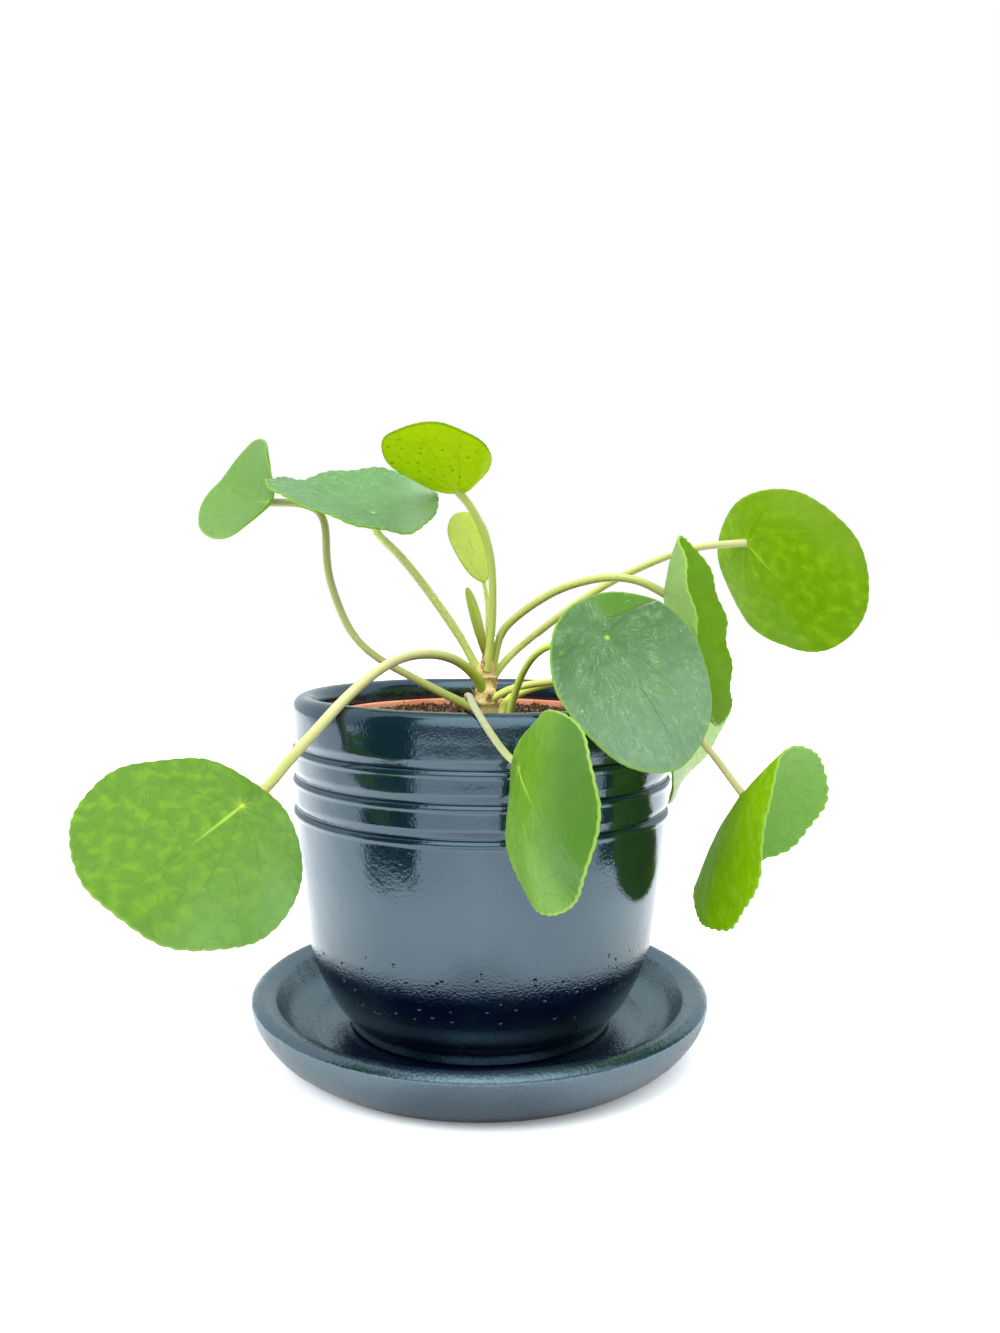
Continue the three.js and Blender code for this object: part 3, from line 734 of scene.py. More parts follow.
def crumb_tree():
    """Scatters one kind of crumb over the upward faces of the soil."""
    group = new_group("scatter_crumbs", "GeometryNodeTree", {
        "Geometry": "Geometry", "Crumb": "Object", "Spacing": "Float", "Density": "Float",
        "Smallest": "Float", "Largest": "Float", "Seed": "Int", "Material": "Material"},
        {"Geometry": "Geometry"})
    ends = node(group, "NodeGroupInput").outputs
    facing = split(group, node(group, "GeometryNodeInputNormal").outputs["Normal"])["Z"]
    upward = node(group, "FunctionNodeCompare", {"A": facing, "B": UPWARD}, operation="GREATER_THAN")
    height = split(group, node(group, "GeometryNodeInputPosition").outputs["Position"])["Z"]
    high = node(group, "FunctionNodeCompare", {"A": height, "B": SOIL_WALL_TOP * MM},
                operation="GREATER_THAN")
    both = node(group, "FunctionNodeBooleanMath", {0: upward.outputs[0], 1: high.outputs[0]})
    points = node(group, "GeometryNodeDistributePointsOnFaces", {
        "Mesh": ends["Geometry"], "Selection": both.outputs[0], "Distance Min": ends["Spacing"],
        "Density Max": ends["Density"], "Seed": ends["Seed"]}, distribute_method="POISSON")
    turn = node(group, "FunctionNodeRandomValue", {"Max": (FULL_TURN,) * 3, "Seed": ends["Seed"]},
                data_type="FLOAT_VECTOR")
    size = node(group, "FunctionNodeRandomValue", {2: ends["Smallest"], 3: ends["Largest"],
                                                   "Seed": ends["Seed"]})
    crumb = node(group, "GeometryNodeObjectInfo", {"Object": ends["Crumb"], "As Instance": True})
    placed = node(group, "GeometryNodeInstanceOnPoints", {
        "Points": points.outputs["Points"], "Instance": crumb.outputs["Geometry"],
        "Rotation": turn.outputs[0], "Scale": size.outputs[1]})
    real = node(group, "GeometryNodeRealizeInstances", {"Geometry": placed.outputs["Instances"]})
    finished = node(group, "GeometryNodeSetMaterial",
                    {"Geometry": real.outputs["Geometry"], "Material": ends["Material"]})
    node(group, "NodeGroupOutput", {"Geometry": finished.outputs["Geometry"]})
    return group


scatter = crumb_tree()
print("scatter tree:", len(scatter.nodes), "nodes")


# %% Crumbs, flakes and fibres
CRUMB_SEED = 50
SCATTER_SEED = 7
CRUMBS = {
    "bark_flakes": {"stretch": (1.3, 0.9, 0.5), "dark": SOIL_DARK, "light": colour(88, 58, 38),
                    "spacing": 1.0, "density": 420000, "size": (0.7, 2.1)},
    "peat_crumbs": {"stretch": (1, 1, 0.8), "dark": colour(30, 21, 16), "light": colour(70, 50, 36),
                    "spacing": 0.8, "density": 620000, "size": (0.5, 1.3)},
    "pale_fibres": {"stretch": (3.4, 0.35, 0.3), "dark": colour(120, 92, 62), "light": SOIL_PALE,
                    "spacing": 2.0, "density": 90000, "size": (0.8, 1.7)},
}

for number, (kind, facts) in enumerate(CRUMBS.items()):
    earth = crumbly(kind, facts["dark"], facts["light"], 0.3)
    crumb = crumb_shape(kind + "_one", facts["stretch"], earth, CRUMB_SEED + number)
    bits = grown(soil, scatter, {
        "Crumb": crumb, "Spacing": facts["spacing"] * MM, "Density": float(facts["density"]),
        "Smallest": facts["size"][0], "Largest": facts["size"][1], "Seed": SCATTER_SEED + number,
        "Material": earth}, kind)
    bpy.data.objects.remove(crumb)
    dress(bits, "soil")
dress(soil, "soil", "soil")


# %% [markdown]
# ## The leaves' own numbers
#
# Every leaf is described once, with the same numbers as in the measured model: where the stalk
# meets the blade, which way the upper side faces, and how the blade is sized, bent, twisted and
# folded. Lengths are in millimetres and angles in degrees. Blades and stalks are both made from
# this list, so a leaf can be changed in one place.

# %% Leaf list
LEAVES = {
    "front_left": {"hub": (-70.4, -61, 94.6), "faces": (-70, 44), "turn": -51, "half": (30, 34),
        "offset": 21, "bend": (1.9, -1.8), "twist": -1, "wave": (0.9, 7, 40), "radius": 1.65,
        "path": [(0, -3, 124.4), (-1.3, -5, 127.6), (-3.8, -7, 130.8), (-7.7, -9.5, 134.1),
                 (-12.1, -12.5, 136.3), (-17.5, -16, 137.2), (-22.8, -20, 137), (-27.9, -25.5, 135.7),
                 (-32.7, -32, 133), (-37.2, -39, 129.5), (-40.7, -44.6, 126.2), (-45.3, -48.8, 121.5),
                 (-50.1, -50, 115.8), (-55, -51.2, 110.5), (-59.9, -52, 104.7), (-64.7, -53, 98.5)]},
    "front_torn": {"hub": (37.2, -52.5, 144.6), "faces": (-71, 23), "turn": 29, "half": (29.5, 27),
        "offset": 15, "egg": 0.02, "bend": (-2.1, 1.8), "twist": -9, "wave": (0.5, 6, 200),
        "tear": {"inner": (-6.2, -5), "outer": (-1, 24), "width": 0.8, "lean": 0.36, "ease": 8},
        "radius": 1.25,
        "path": [(3.6, -3.4, 106), (8.2, -6.4, 112.5), (10.3, -11, 121.5), (12.7, -17, 129.7),
                 (16, -24, 136.4), (20.5, -33, 140.8), (26.5, -40.5, 142.5), (33.2, -47, 142.6)]},
    "front_hanging": {"hub": (10.5, -76.8, 108.9), "faces": (-168, 10.6), "turn": 65.6,
        "half": (27.6, 27.6), "offset": 19.7, "egg": 0.037, "bend": (-6.2, -5.2), "fold": (0, 4, -33),
        "wave": (0.7, 6, 90), "radius": 1.1,
        "path": [(-1.4, -2.6, 118.4), (-4.4, -9, 121.2), (-4.9, -25, 124), (-4.2, -40, 125.4),
                 (-3.7, -52, 126.3), (-3.4, -60, 126), (-1.4, -64.8, 123.2), (2.2, -67.2, 117.7),
                 (5.9, -67, 112.6), (8.5, -66.6, 109.1), (12.2, -68.3, 107.8), (13.6, -72.6, 107.6),
                 (13, -76, 108.2)]},
    "behind_torn": {"hub": (73.3, 12, 109.5), "faces": (-29, -10), "turn": 60, "half": (27, 24.5),
        "offset": 15.8, "egg": -0.02, "bend": (-2.9, 4.8), "twist": 14, "wave": (0.6, 6, 30),
        "radius": 1.6,
        "path": [(3.4, -0.6, 108), (6.1, 0, 115), (8.2, 1, 119.4), (12, 2, 122.5), (17.7, 4, 124.4),
                 (27.4, 7, 126.4), (41.8, 10, 128), (53.5, 11.5, 127.8), (60.5, 12, 125.8),
                 (66, 12.3, 121.4), (70, 12.3, 115.8)]},
    "low_right": {"hub": (85.3, -28, 92.5), "faces": (-37.6, -41.8), "turn": -12.8,
        "half": (37.9, 31.5), "offset": 9.6, "egg": 0.024, "bend": (3.6, 7.3), "twist": 7.2,
        "fold": (41, 5.4, 35.5, -0.335), "wave": (0.7, 8, 0), "radius": 1.2,
        "path": [(3.2, -2.6, 120.6), (8.4, -6, 124.4), (12.7, -8, 125.8), (19.4, -11, 127.2),
                 (25.9, -14, 128.2), (39, -17, 129.6), (52, -20, 128.6), (62.5, -22, 122.5),
                 (72.4, -24, 109.3), (78.4, -26, 101.7), (82.6, -27, 95.7)]},
    "right_folded": {"hub": (61, -14, 157.5), "faces": (-20, -1), "turn": 9, "half": (35, 29.5),
        "offset": 15, "egg": -0.04, "bend": (9.6, 2.5), "twist": -4, "fold": (28, 3.5, -17),
        "wave": (0.7, 9, 0), "radius": 1.35,
        "path": [(3.4, -0.6, 131), (4.6, -0.6, 137), (6.4, -1, 143.9), (10.9, -3.4, 148.8),
                 (17.6, -6, 154), (25.9, -9, 158.9), (35.7, -12, 162), (43.8, -14, 163),
                 (52, -15, 161.8)]},
    "far_right": {"hub": (94.5, 15, 176), "faces": (29, 19), "turn": -37, "half": (31.5, 33),
        "offset": 18, "egg": -0.05, "bend": (6.2, 6.4), "twist": -5, "wave": (0.6, 6, 120),
        "radius": 1.3,
        "path": [(2.8, 1.2, 126.5), (5.6, 2.6, 131), (9.2, 3.4, 135.2), (14.7, 4.6, 139.9),
                 (21.8, 6, 145.5), (34.3, 10, 154.6), (48.8, 14, 163.2), (56.2, 16, 166.5),
                 (65.5, 18, 170.6), (74.6, 19, 173.6), (83.5, 18, 175.1)]},
    "top": {"hub": (-9.1, -4.5, 191.9), "faces": (64, 53), "turn": 179, "half": (18.5, 18.5),
        "offset": 17, "bend": (-3.6, 2.2), "twist": 6, "wave": (0.5, 5, 0), "hem": (130, 2, 50, 3),
        "radius": 1.35,
        "path": [(1.3, -3.5, 130.5), (2.1, -3.7, 136.6), (2.8, -3.8, 143.3), (3.2, -3.8, 150),
                 (3.2, -3.8, 156.6), (3, -4, 163.3), (2.3, -4.3, 169.9), (0.7, -4.8, 176),
                 (-2, -5.4, 182.1), (-5.2, -5.8, 187.3)]},
    "young": {"hub": (0.2, 1.6, 162.2), "faces": (-48, 16.5), "turn": -163, "half": (12.8, 9),
        "offset": 11.6, "egg": 0.22, "bend": (1.5, -0.5), "twist": -5, "fold": (14, 4.5, 0),
        "wave": (0.3, 5, 0), "radius": 0.8,
        "path": [(0.8, 1.4, 132), (1.4, 2.4, 137), (1.6, 3.6, 145), (1.4, 3.8, 153.5)]},
    "upper_left": {"hub": (-37.2, -8, 183.8), "faces": (-77, 67), "turn": -142,
        "half": (30.4, 28.8), "offset": 10, "egg": 0.03, "bend": (0, 0), "twist": 2,
        "fold": (15, 3.7, -5), "wave": (0.5, 10, 0), "radius": 1.45,
        "path": [(-0.3, -0.9, 128.4), (-3.5, -1.2, 134), (-5.2, -1.5, 137.5), (-7.3, -1.9, 141),
                 (-9.5, -2.3, 144.5), (-11.7, -2.7, 147.9), (-14.2, -3.2, 151.4), (-19.1, -4.4, 158.2),
                 (-24.4, -5.6, 165), (-30.4, -6.9, 171.8), (-36.5, -8.2, 177.4)]},
    "far_left": {"hub": (-77.2, 18.4, 188.9), "faces": (-159, 24), "turn": -91, "half": (30, 23),
        "offset": 14, "bend": (9, 0.7), "twist": 10, "fold": (30, 3.3, 0), "wave": (0.4, 5, 60),
        "radius": 1.4,
        "path": [(-1.4, 0, 116.6), (-6.1, 1.5, 118.5), (-11.4, 3, 120.9), (-17.3, 4, 123.7),
                 (-25.5, 5, 128), (-31.4, 6, 130.8), (-38.6, 7.5, 135), (-45.2, 9.5, 140.6),
                 (-49.5, 12, 147.5), (-52.8, 13.5, 155.5), (-55.4, 14.5, 163.5), (-56.2, 15.5, 173.7),
                 (-56.4, 16.2, 182), (-58.7, 17, 186.6), (-64, 17.4, 188.6), (-71.5, 17.2, 188.6)]},
    "bud": {"hub": (0.9, -1.9, 135), "faces": (-60, 8), "turn": -167, "half": (12.7, 2.3),
        "offset": 12.3, "egg": 0.15, "bend": (0, 0), "fold": (45, 1.5, 0), "wave": (0, 1, 0)},
}
print("leaves with a stalk:", sum("path" in leaf for leaf in LEAVES.values()))


# %% [markdown]
# ## How a blade is bent
#
# A blade is drawn flat first, with the stalk's foot at the middle of its own little map: x runs
# to the tip and y across. Then the flat points are folded and rolled across, arched along,
# twisted, and set at the hub. Lattices or hooks could bend a flat disc by hand, but a formula
# gives the very form of the measured leaf, and works on every point at once with arrays.

# %% Bending formulas
FOLD_STEPS = 24
NO_FOLD = (0, 1, 0)


def fold_across(y, along, leaf):
    """Walks in small steps from the crease out to y over a blade that is folded and rolled."""
    angle, at_hub, _, growth = (*leaf.get("fold", NO_FOLD), 0)[:4]
    softness = at_hub * np.exp(growth * along / 10)
    roll = math.radians(leaf["bend"][1]) / 10
    step = y / FOLD_STEPS
    across, up = np.zeros_like(y), np.zeros_like(y)
    for i in range(FOLD_STEPS):
        at = (i + 0.5) * step
        tilt = math.radians(angle) * at / np.hypot(at, softness) + roll * at
        across += np.cos(tilt) * step
        up += np.sin(tilt) * step
    return across, up


def tear_lean(x, y, tear):
    """How far the lobe beyond a tear leans back."""
    (x0, y0), (x1, y1) = tear["inner"], tear["outer"]
    length = math.hypot(x1 - x0, y1 - y0)
    beyond = ((x1 - x0) * (y - y0) - (y1 - y0) * (x - x0)) / length
    along = ((x - x0) * (x1 - x0) + (y - y0) * (y1 - y0)) / length
    ease = np.clip((along + tear["ease"]) / (2 * tear["ease"]), 0, 1)
    return -tear["lean"] * np.maximum(beyond, 0) * ease ** 2 * (3 - 2 * ease)


def hemmed(x, y, lift, hem):
    """Folds what lies beyond the hem towards the upper side, round a soft bend."""
    direction, distance, angle, softness = hem
    c, s = math.cos(math.radians(direction)), math.sin(math.radians(direction))
    beyond = np.maximum(x * c + y * s - distance, 0)
    turned = np.minimum(beyond / softness, math.radians(angle))
    rest = beyond - turned * softness
    out = softness * np.sin(turned) + rest * np.cos(turned) - beyond - lift * np.sin(turned)
    up = softness * (1 - np.cos(turned)) + rest * np.sin(turned) + lift * np.cos(turned)
    return x + out * c, y + out * s, up


def bent(x, y, lift, leaf):
    """Flat places of a blade, bent into the leaf's form at its hub: to the tip, across and up."""
    if "hem" in leaf:
        x, y, lift = hemmed(x, y, lift, leaf["hem"])
    crease = math.radians(leaf.get("fold", NO_FOLD)[2])
    along = x * math.cos(crease) + y * math.sin(crease)
    across, rise = fold_across(-x * math.sin(crease) + y * math.cos(crease), along, leaf)
    up = rise + lift
    arch = math.radians(leaf["bend"][0]) / 10
    if abs(arch) < 1e-6:
        forward, height = along, up
    else:
        turn = arch * along
        forward = np.sin(turn) / arch - up * np.sin(turn)
        height = (1 - np.cos(turn)) / arch + up * np.cos(turn)
    twist = math.radians(leaf.get("twist", 0)) * along / 30
    side = across * np.cos(twist) - height * np.sin(twist)
    top = across * np.sin(twist) + height * np.cos(twist)
    return np.stack([forward * math.cos(crease) - side * math.sin(crease),
                     forward * math.sin(crease) + side * math.cos(crease), top], axis=-1)


def leaf_axes(leaf):
    """Directions to the tip, across, and out of the upper side."""
    compass, rise = (math.radians(angle) for angle in leaf["faces"])
    turn = math.radians(leaf["turn"])
    ahead, side = math.cos(compass), math.sin(compass)
    normal = np.array([math.cos(rise) * ahead, math.cos(rise) * side, math.sin(rise)])
    down = np.array([math.sin(rise) * ahead, math.sin(rise) * side, -math.cos(rise)])
    tip = down * math.cos(turn) + np.cross(normal, down) * math.sin(turn)
    return np.array([tip, np.cross(normal, tip), normal])


print("the top leaf's upper side faces", leaf_axes(LEAVES["top"])[2].round(2))


# %% [markdown]
# ## Main veins
#
# The stalk joins the blade from below, and nine veins leave that hub like spokes. The midrib
# runs to the tip, and its neighbours bow towards it. The same list serves twice: the mesh gets
# real grooves above and ribs below, and a node group draws the fine pale line along each one.
# Lengths here are shares of the blade's longest reach, so one list fits every leaf.

# %% Vein list and vein relief
# Angle from the midrib, bow towards the tip, and reach
VEINS = [(0, 0, 0.9), (33, -0.28, 0.8), (-33, 0.28, 0.8), (70, -0.5, 0.6), (-70, 0.5, 0.6),
         (112, -0.8, 0.42), (-112, 0.8, 0.42), (160, 0, 0.26), (-160, 0, 0.26)]
VEIN_WIDTH = 0.012
VEIN_THINNEST = 0.003
VEIN_TAPER = 1.5
VEIN_FADE = 8
VEIN_GROOVE = 0.07
VEIN_RIB = 0.14


def vein_relief(x, y):
    """1 on a main vein and 0 between them, at places given as shares of the blade's reach."""
    relief = np.zeros_like(x)
    for angle, bow, reach in VEINS:
        c, s = math.cos(math.radians(angle)), math.sin(math.radians(angle))
        along, aside = x * c + y * s, y * c - x * s
        width = VEIN_WIDTH * (VEIN_TAPER - along / reach)
        line = np.exp(-((aside - bow * along ** 2) / np.maximum(width, VEIN_THINNEST)) ** 2)
        relief = np.maximum(relief, line * (along > 0) * np.clip((reach - along) * VEIN_FADE, 0, 1))
    return relief


print("main veins of a blade:", len(VEINS))


# %% [markdown]
# ## A blade as a fine mesh
#
# Rings of points run from the hub to the margin. The rings crowd together in the last half
# millimetre, where the blade's thickness rounds off to nothing, so the edge is a real soft edge
# and not a knife. The margin has shallow scallops. The flat map is kept as the UV map for the
# veins, and each point keeps its distance to the margin for the pale rim.

# %% Flat blade and middle surface
BLADE_ROUND = 0.45
BLADE_AROUND = 282
BLADE_RINGS = 30
EDGE_RINGS = [0.45, 0.32, 0.2, 0.1, 0.03]
SCALLOPS = 47
SCALLOP_DEPTHS = {"front_left": 0.36, "front_hanging": 0.3, "low_right": 0.6, "right_folded": 0.4,
                  "upper_left": 0.55, "behind_torn": 0.35, "far_right": 0.15}
PLAIN_DEPTH = 0.1
SCALLOP_SHAPE = 0.8
SCALLOP_LEVEL = 0.6
SCALLOP_FROM = 14
SCALLOP_LIFT = 0.3
SCALLOP_LIFT_FROM = 22
WAVES_FROM = 3
LUMP_HEIGHT = 0.1
LUMP_SIZE = 7


def blade_size(leaf):
    """The blade's longest reach from the hub, and how small it is against the full-grown ones."""
    return leaf["offset"] + leaf["half"][0], min(1, leaf["half"][1] / 20)


def flat_blade(leaf, around, scallops=0.0):
    """Shares, flat places and distances to the margin of a blade's rings, from hub to margin."""
    half_length, half_width = leaf["half"]
    angle = 2 * math.pi * np.arange(around) / around
    edge_x = leaf["offset"] + half_length * np.cos(angle)
    edge_y = half_width * np.sin(angle) * (1 + leaf.get("egg", 0) * np.cos(angle))
    reach = np.hypot(edge_x, edge_y)
    inner = np.linspace(0, 1, BLADE_RINGS + 1)[:, None] * (1 - BLADE_ROUND / reach)[None, :]
    outer = np.array([1 - gap / reach for gap in EDGE_RINGS[1:]] + [np.ones(around)])
    share = np.vstack([inner, outer])
    notch = np.abs(np.cos(SCALLOPS * angle / 2)) ** SCALLOP_SHAPE - SCALLOP_LEVEL
    grow = 1 + scallops * notch[None, :] * share ** SCALLOP_FROM / reach[None, :]
    return share, share * grow * edge_x, share * grow * edge_y, (1 - share) * reach


def middle_surface(leaf, x, y, share, scallops=0.0, seed=0):
    """The blade's middle surface as rings of points in mm, with a normal at each point."""
    angle = 2 * math.pi * np.arange(x.shape[1]) / x.shape[1]
    small = blade_size(leaf)[1]
    swing, waves, start = leaf["wave"]
    lift = swing * share ** WAVES_FROM * np.sin(waves * angle + math.radians(start))
    lift = lift + SCALLOP_LIFT * scallops * share ** SCALLOP_LIFT_FROM * np.sin(SCALLOPS * angle)
    lumps = ripple_field(seed, LUMP_SIZE)(np.stack([x, y, 0 * x], axis=-1))
    lift = lift + LUMP_HEIGHT * small * lumps * share
    if "tear" in leaf:
        lift = lift + tear_lean(x, y, leaf["tear"])
    middle = np.array(leaf["hub"]) + bent(x, y, lift, leaf) @ leaf_axes(leaf)
    around = np.roll(middle, -1, axis=1) - np.roll(middle, 1, axis=1)
    normal = np.cross(np.gradient(middle, axis=0), around)
    normal /= np.maximum(np.linalg.norm(normal, axis=2, keepdims=True), 1e-9)
    normal[0] = normal[1].mean(axis=0) / np.linalg.norm(normal[1].mean(axis=0))
    return middle, normal


print("points round a large blade:", BLADE_AROUND)


# %% Blade mesh
BLADE_HALF = 0.4
SMALL_THINNER = 0.3
VEIN_HUB = 0.5
HUB_WIDTH = 1.6
HUB_OVER = 0.4


def point_values(piece, name, values):
    """Keeps one number for each point of a mesh, for its material to read."""
    layer = piece.data.attributes.new(name, "FLOAT", "POINT")
    layer.data.foreach_set("value", np.asarray(values, dtype=np.float32))


def blade_faces(rings, around):
    """Faces of the upper and the under sheet, which share the margin's points, and their sides."""
    count = 1 + (rings - 2) * around

    def at(side, ring, turn):
        turn %= around
        if ring == rings - 1:
            return 2 * count + turn
        return side * count + (0 if ring == 0 else 1 + (ring - 1) * around + turn)

    faces, sides = [], []
    for side in (0, 1):
        for ring in range(rings - 1):
            for turn in range(around):
                corners = [at(side, ring, turn), at(side, ring + 1, turn),
                           at(side, ring + 1, turn + 1), at(side, ring, turn + 1)]
                corners = corners[:3] if ring == 0 else corners
                faces.append(corners if side == 0 else corners[::-1])
                sides.append(side)
    return faces, sides


def blade_piece(name, leaf, materials, around, scallops):
    """A blade with a skin on each side, its own flat map, and each point's distance to the margin."""
    size, scale = blade_size(leaf)
    share, x, y, margin = flat_blade(leaf, around, scallops)
    middle, normal = middle_surface(leaf, x, y, share, scallops, len(name))
    edge = np.sqrt(1 - (1 - np.clip(margin / BLADE_ROUND, 0, 1)) ** 2)
    half = BLADE_HALF * scale ** SMALL_THINNER * edge
    veins = vein_relief(x / size, y / size) * scale * np.clip(margin / 2, 0, 1)
    dimple = VEIN_HUB * scale * np.exp(-(np.hypot(x, y) / HUB_WIDTH) ** 2)
    upper = middle + normal * (half - VEIN_GROOVE * veins - dimple * HUB_OVER)[..., None]
    under = middle - normal * (half + VEIN_RIB * veins + dimple)[..., None]

    def listed(above, below):
        """The hub and the rings of one side, then of the other, and the margin that both share."""
        sheets = [part for rings in (above, below)
                  for part in (rings[0, :1], rings[1:-1].reshape(-1, *rings.shape[2:]))]
        return np.concatenate([*sheets, above[-1]])

    # Both sides meet in the margin
    upper[-1] = middle[-1]
    faces, sides = blade_faces(len(share), around)
    piece = mesh_piece(name, listed(upper, under), faces, materials, sides)
    place = np.stack([listed(x, x), listed(y, y)], axis=1) / (2 * size) + 0.5
    layer = piece.data.uv_layers.new(name="blade_map")
    corners = np.zeros(len(piece.data.loops), dtype=np.int32)
    piece.data.loops.foreach_get("vertex_index", corners)
    layer.data.foreach_set("uv", place[corners].astype(np.float32).ravel())
    point_values(piece, "margin", listed(margin, margin))
    return piece


# %% [markdown]
# ## Leaf finishes
#
# A fresh leaf is smooth and a little waxy above, so it reflects soft light that turns the green
# greyish. Below it is duller. Light also comes through it, which gives the saturated yellow-green
# of a blade seen against the light. So each side is a Principled shader mixed with a Translucent
# one. Colour comes in layers: two greens in soft patches, a net of fine dark veins, a pale midrib
# with a small bright star at the hub, specks, and a thin pale rim along the margin. On some blades
# painted light and shade lie over that: lighter, greyer or darker parts, and pale grey streaks of
# painted sheen.

# %% The spokes as a node group
LINE_TAPER = 1.25
LINE_FADE = 6.0


def dot(tree, place, way):
    """How far a place lies in a direction."""
    made = node(tree, "ShaderNodeVectorMath", {0: place, 1: way}, operation="DOT_PRODUCT")
    return made.outputs["Value"]


def vein_group():
    """Draws the midrib and the side veins over the blade's own map: 1 on a vein, 0 beside it."""
    group = new_group("vein_spokes", "ShaderNodeTree", {"Place": "Vector", "Width": "Float"},
                      {"Midrib": "Float", "Side veins": "Float"})
    ends = node(group, "NodeGroupInput").outputs
    drawn = []
    for angle, bow, reach in VEINS:
        c, s = math.cos(math.radians(angle)), math.sin(math.radians(angle))
        along, aside = dot(group, ends["Place"], (c, s, 0)), dot(group, ends["Place"], (-s, c, 0))
        bowed = maths(group, "MULTIPLY", maths(group, "MULTIPLY", along, along), -bow)
        distance = maths(group, "ABSOLUTE", maths(group, "ADD", aside, bowed))
        taper = maths(group, "MULTIPLY_ADD", along, -1.0 / reach, LINE_TAPER)
        width = maths(group, "MULTIPLY", taper, ends["Width"])
        line = maths(group, "SUBTRACT", 1.0, maths(group, "DIVIDE", distance, width), clamp=True)
        rest = maths(group, "SUBTRACT", reach, along)
        inside = maths(group, "MULTIPLY", maths(group, "GREATER_THAN", along, 0.0),
                       maths(group, "MULTIPLY", rest, LINE_FADE, clamp=True))
        drawn.append(maths(group, "MULTIPLY", line, inside))
    midrib, side = drawn[0], drawn[1]
    for line in drawn[2:]:
        side = maths(group, "MAXIMUM", side, line)
    node(group, "NodeGroupOutput", {"Midrib": midrib, "Side veins": side})
    return group


vein_spokes = vein_group()
print("vein group:", len(vein_spokes.nodes), "nodes")


# %% Leaf markings
HUB_STAR = colour(196, 222, 84)
# Mesh widths of the two nets of fine veins, in mm
NET_WIDTHS = (6.0, 1.9)
# Number of painted sheen streaks round the hub for a radian, and their length in mm
THREADS_AROUND = 22.0
THREAD_LENGTH = 3.5
# Width in mm of the vein lines, and radii of the star at the hub
VEIN_LINE = 0.6
STAR_EDGE = (0.2, 1.2)
STAR_SHARE = 0.8
# Shares of a blade's reach between which the midrib fades in dark, and it and the rays fade out
DARK_RIB = (0.28, 0.5)
DARK_RIB_SHARE = 0.7
PALE_RIB = (0.1, 0.5)
PALE_RAYS = (0.02, 0.09)
PALE_RAYS_SHARE = 0.4
VEIN_SHADE = 0.55
# Distances in mm beyond a tear, and along it, over which the lobe takes on its own green
LOBE_BEYOND = (-0.1, 0.3)
LOBE_ALONG = (6.0, 11.0)


def darker(shade, share):
    """The same hue with that share of its light."""
    return tuple(channel * share for channel in shade[:3]) + (1.0,)


def towards(tree, place, angle, start, end, most):
    """0 to most across a blade, from one share of its reach to another in an angle's direction."""
    way = (math.cos(math.radians(angle)), math.sin(math.radians(angle)), 0)
    return remap(tree, dot(tree, place, way), start, end, 0.0, most)


def vein_net(tree, place, size, net):
    """Two nets of soft lines between the main veins, one with wide meshes and one with narrow."""
    def meshes(width, line, most):
        edge = node(tree, "ShaderNodeTexVoronoi", {"Vector": place, "Scale": size / width},
                    feature="DISTANCE_TO_EDGE").outputs["Distance"]
        return remap(tree, edge, 0.0, line, most, 0.0)
    wide, narrow = NET_WIDTHS
    return maths(tree, "ADD", meshes(wide, 0.1, net), meshes(narrow, 0.2, net * 0.4), clamp=True)


def sheen_streaks(tree, place, drift, reach, size, most):
    """Painted sheen: fine pale grey streaks that run out from the hub, thick in some parts of the blade.
    """
    parts = split(tree, drift)
    angle = maths(tree, "ARCTAN2", parts["Y"], parts["X"])
    lengthways = node(tree, "ShaderNodeCombineXYZ", {
        0: maths(tree, "MULTIPLY", angle, THREADS_AROUND),
        1: maths(tree, "MULTIPLY", reach, size / THREAD_LENGTH)})
    threads = noise(tree, lengthways.outputs["Vector"], 1.0, 3, 0.65)
    cover = remap(tree, noise(tree, place, size / 12.0, 2), 0.36, 0.6, 0.3, 1.0)
    return maths(tree, "MULTIPLY", cover, remap(tree, threads, 0.45, 0.66, 0.0, most))


def torn_lobe(tree, place, size, tear):
    """1 on the outer part of the lobe beyond a tear, 0 on the rest of the blade."""
    inner, outer = Vector((*tear["inner"], 0)) / size, Vector((*tear["outer"], 0)) / size
    way = (outer - inner).normalized()
    beyond = Vector((-way.y, way.x, 0))

    def measured(direction, start, end):
        base = inner.dot(direction)
        return remap(tree, dot(tree, place, direction), base + start / size, base + end / size)
    return maths(tree, "MULTIPLY", measured(beyond, *LOBE_BEYOND), measured(way, *LOBE_ALONG))


def with_veins(tree, base, place, reach, size, main, midrib, spokes):
    """Draws the veins: pale near the hub and darker than the blade farther out."""
    veins = node(tree, "ShaderNodeGroup", {}, node_tree=vein_spokes)
    fill(tree, veins, {"Place": place, "Width": VEIN_LINE / size})
    rib, side = veins.outputs["Midrib"], veins.outputs["Side veins"]
    far_line = maths(tree, "MULTIPLY", rib, remap(tree, reach, *DARK_RIB, 0.0, DARK_RIB_SHARE))
    dark = maths(tree, "MAXIMUM", far_line, maths(tree, "MULTIPLY", side, spokes))
    base = blend_colour(tree, dark, base, darker(main, VEIN_SHADE))
    near_line = maths(tree, "MULTIPLY", rib, remap(tree, reach, *PALE_RIB, midrib, 0.0))
    rays = maths(tree, "MULTIPLY", side,
                 remap(tree, reach, *PALE_RAYS, midrib * PALE_RAYS_SHARE, 0.0))
    base = blend_colour(tree, maths(tree, "MAXIMUM", near_line, rays), base, HUB_STAR)
    inner, outer = (radius / size for radius in STAR_EDGE)
    return blend_colour(tree, remap(tree, reach, inner, outer, STAR_SHARE, 0.0), base, HUB_STAR)


print("fine nets of veins:", NET_WIDTHS, "mm wide")


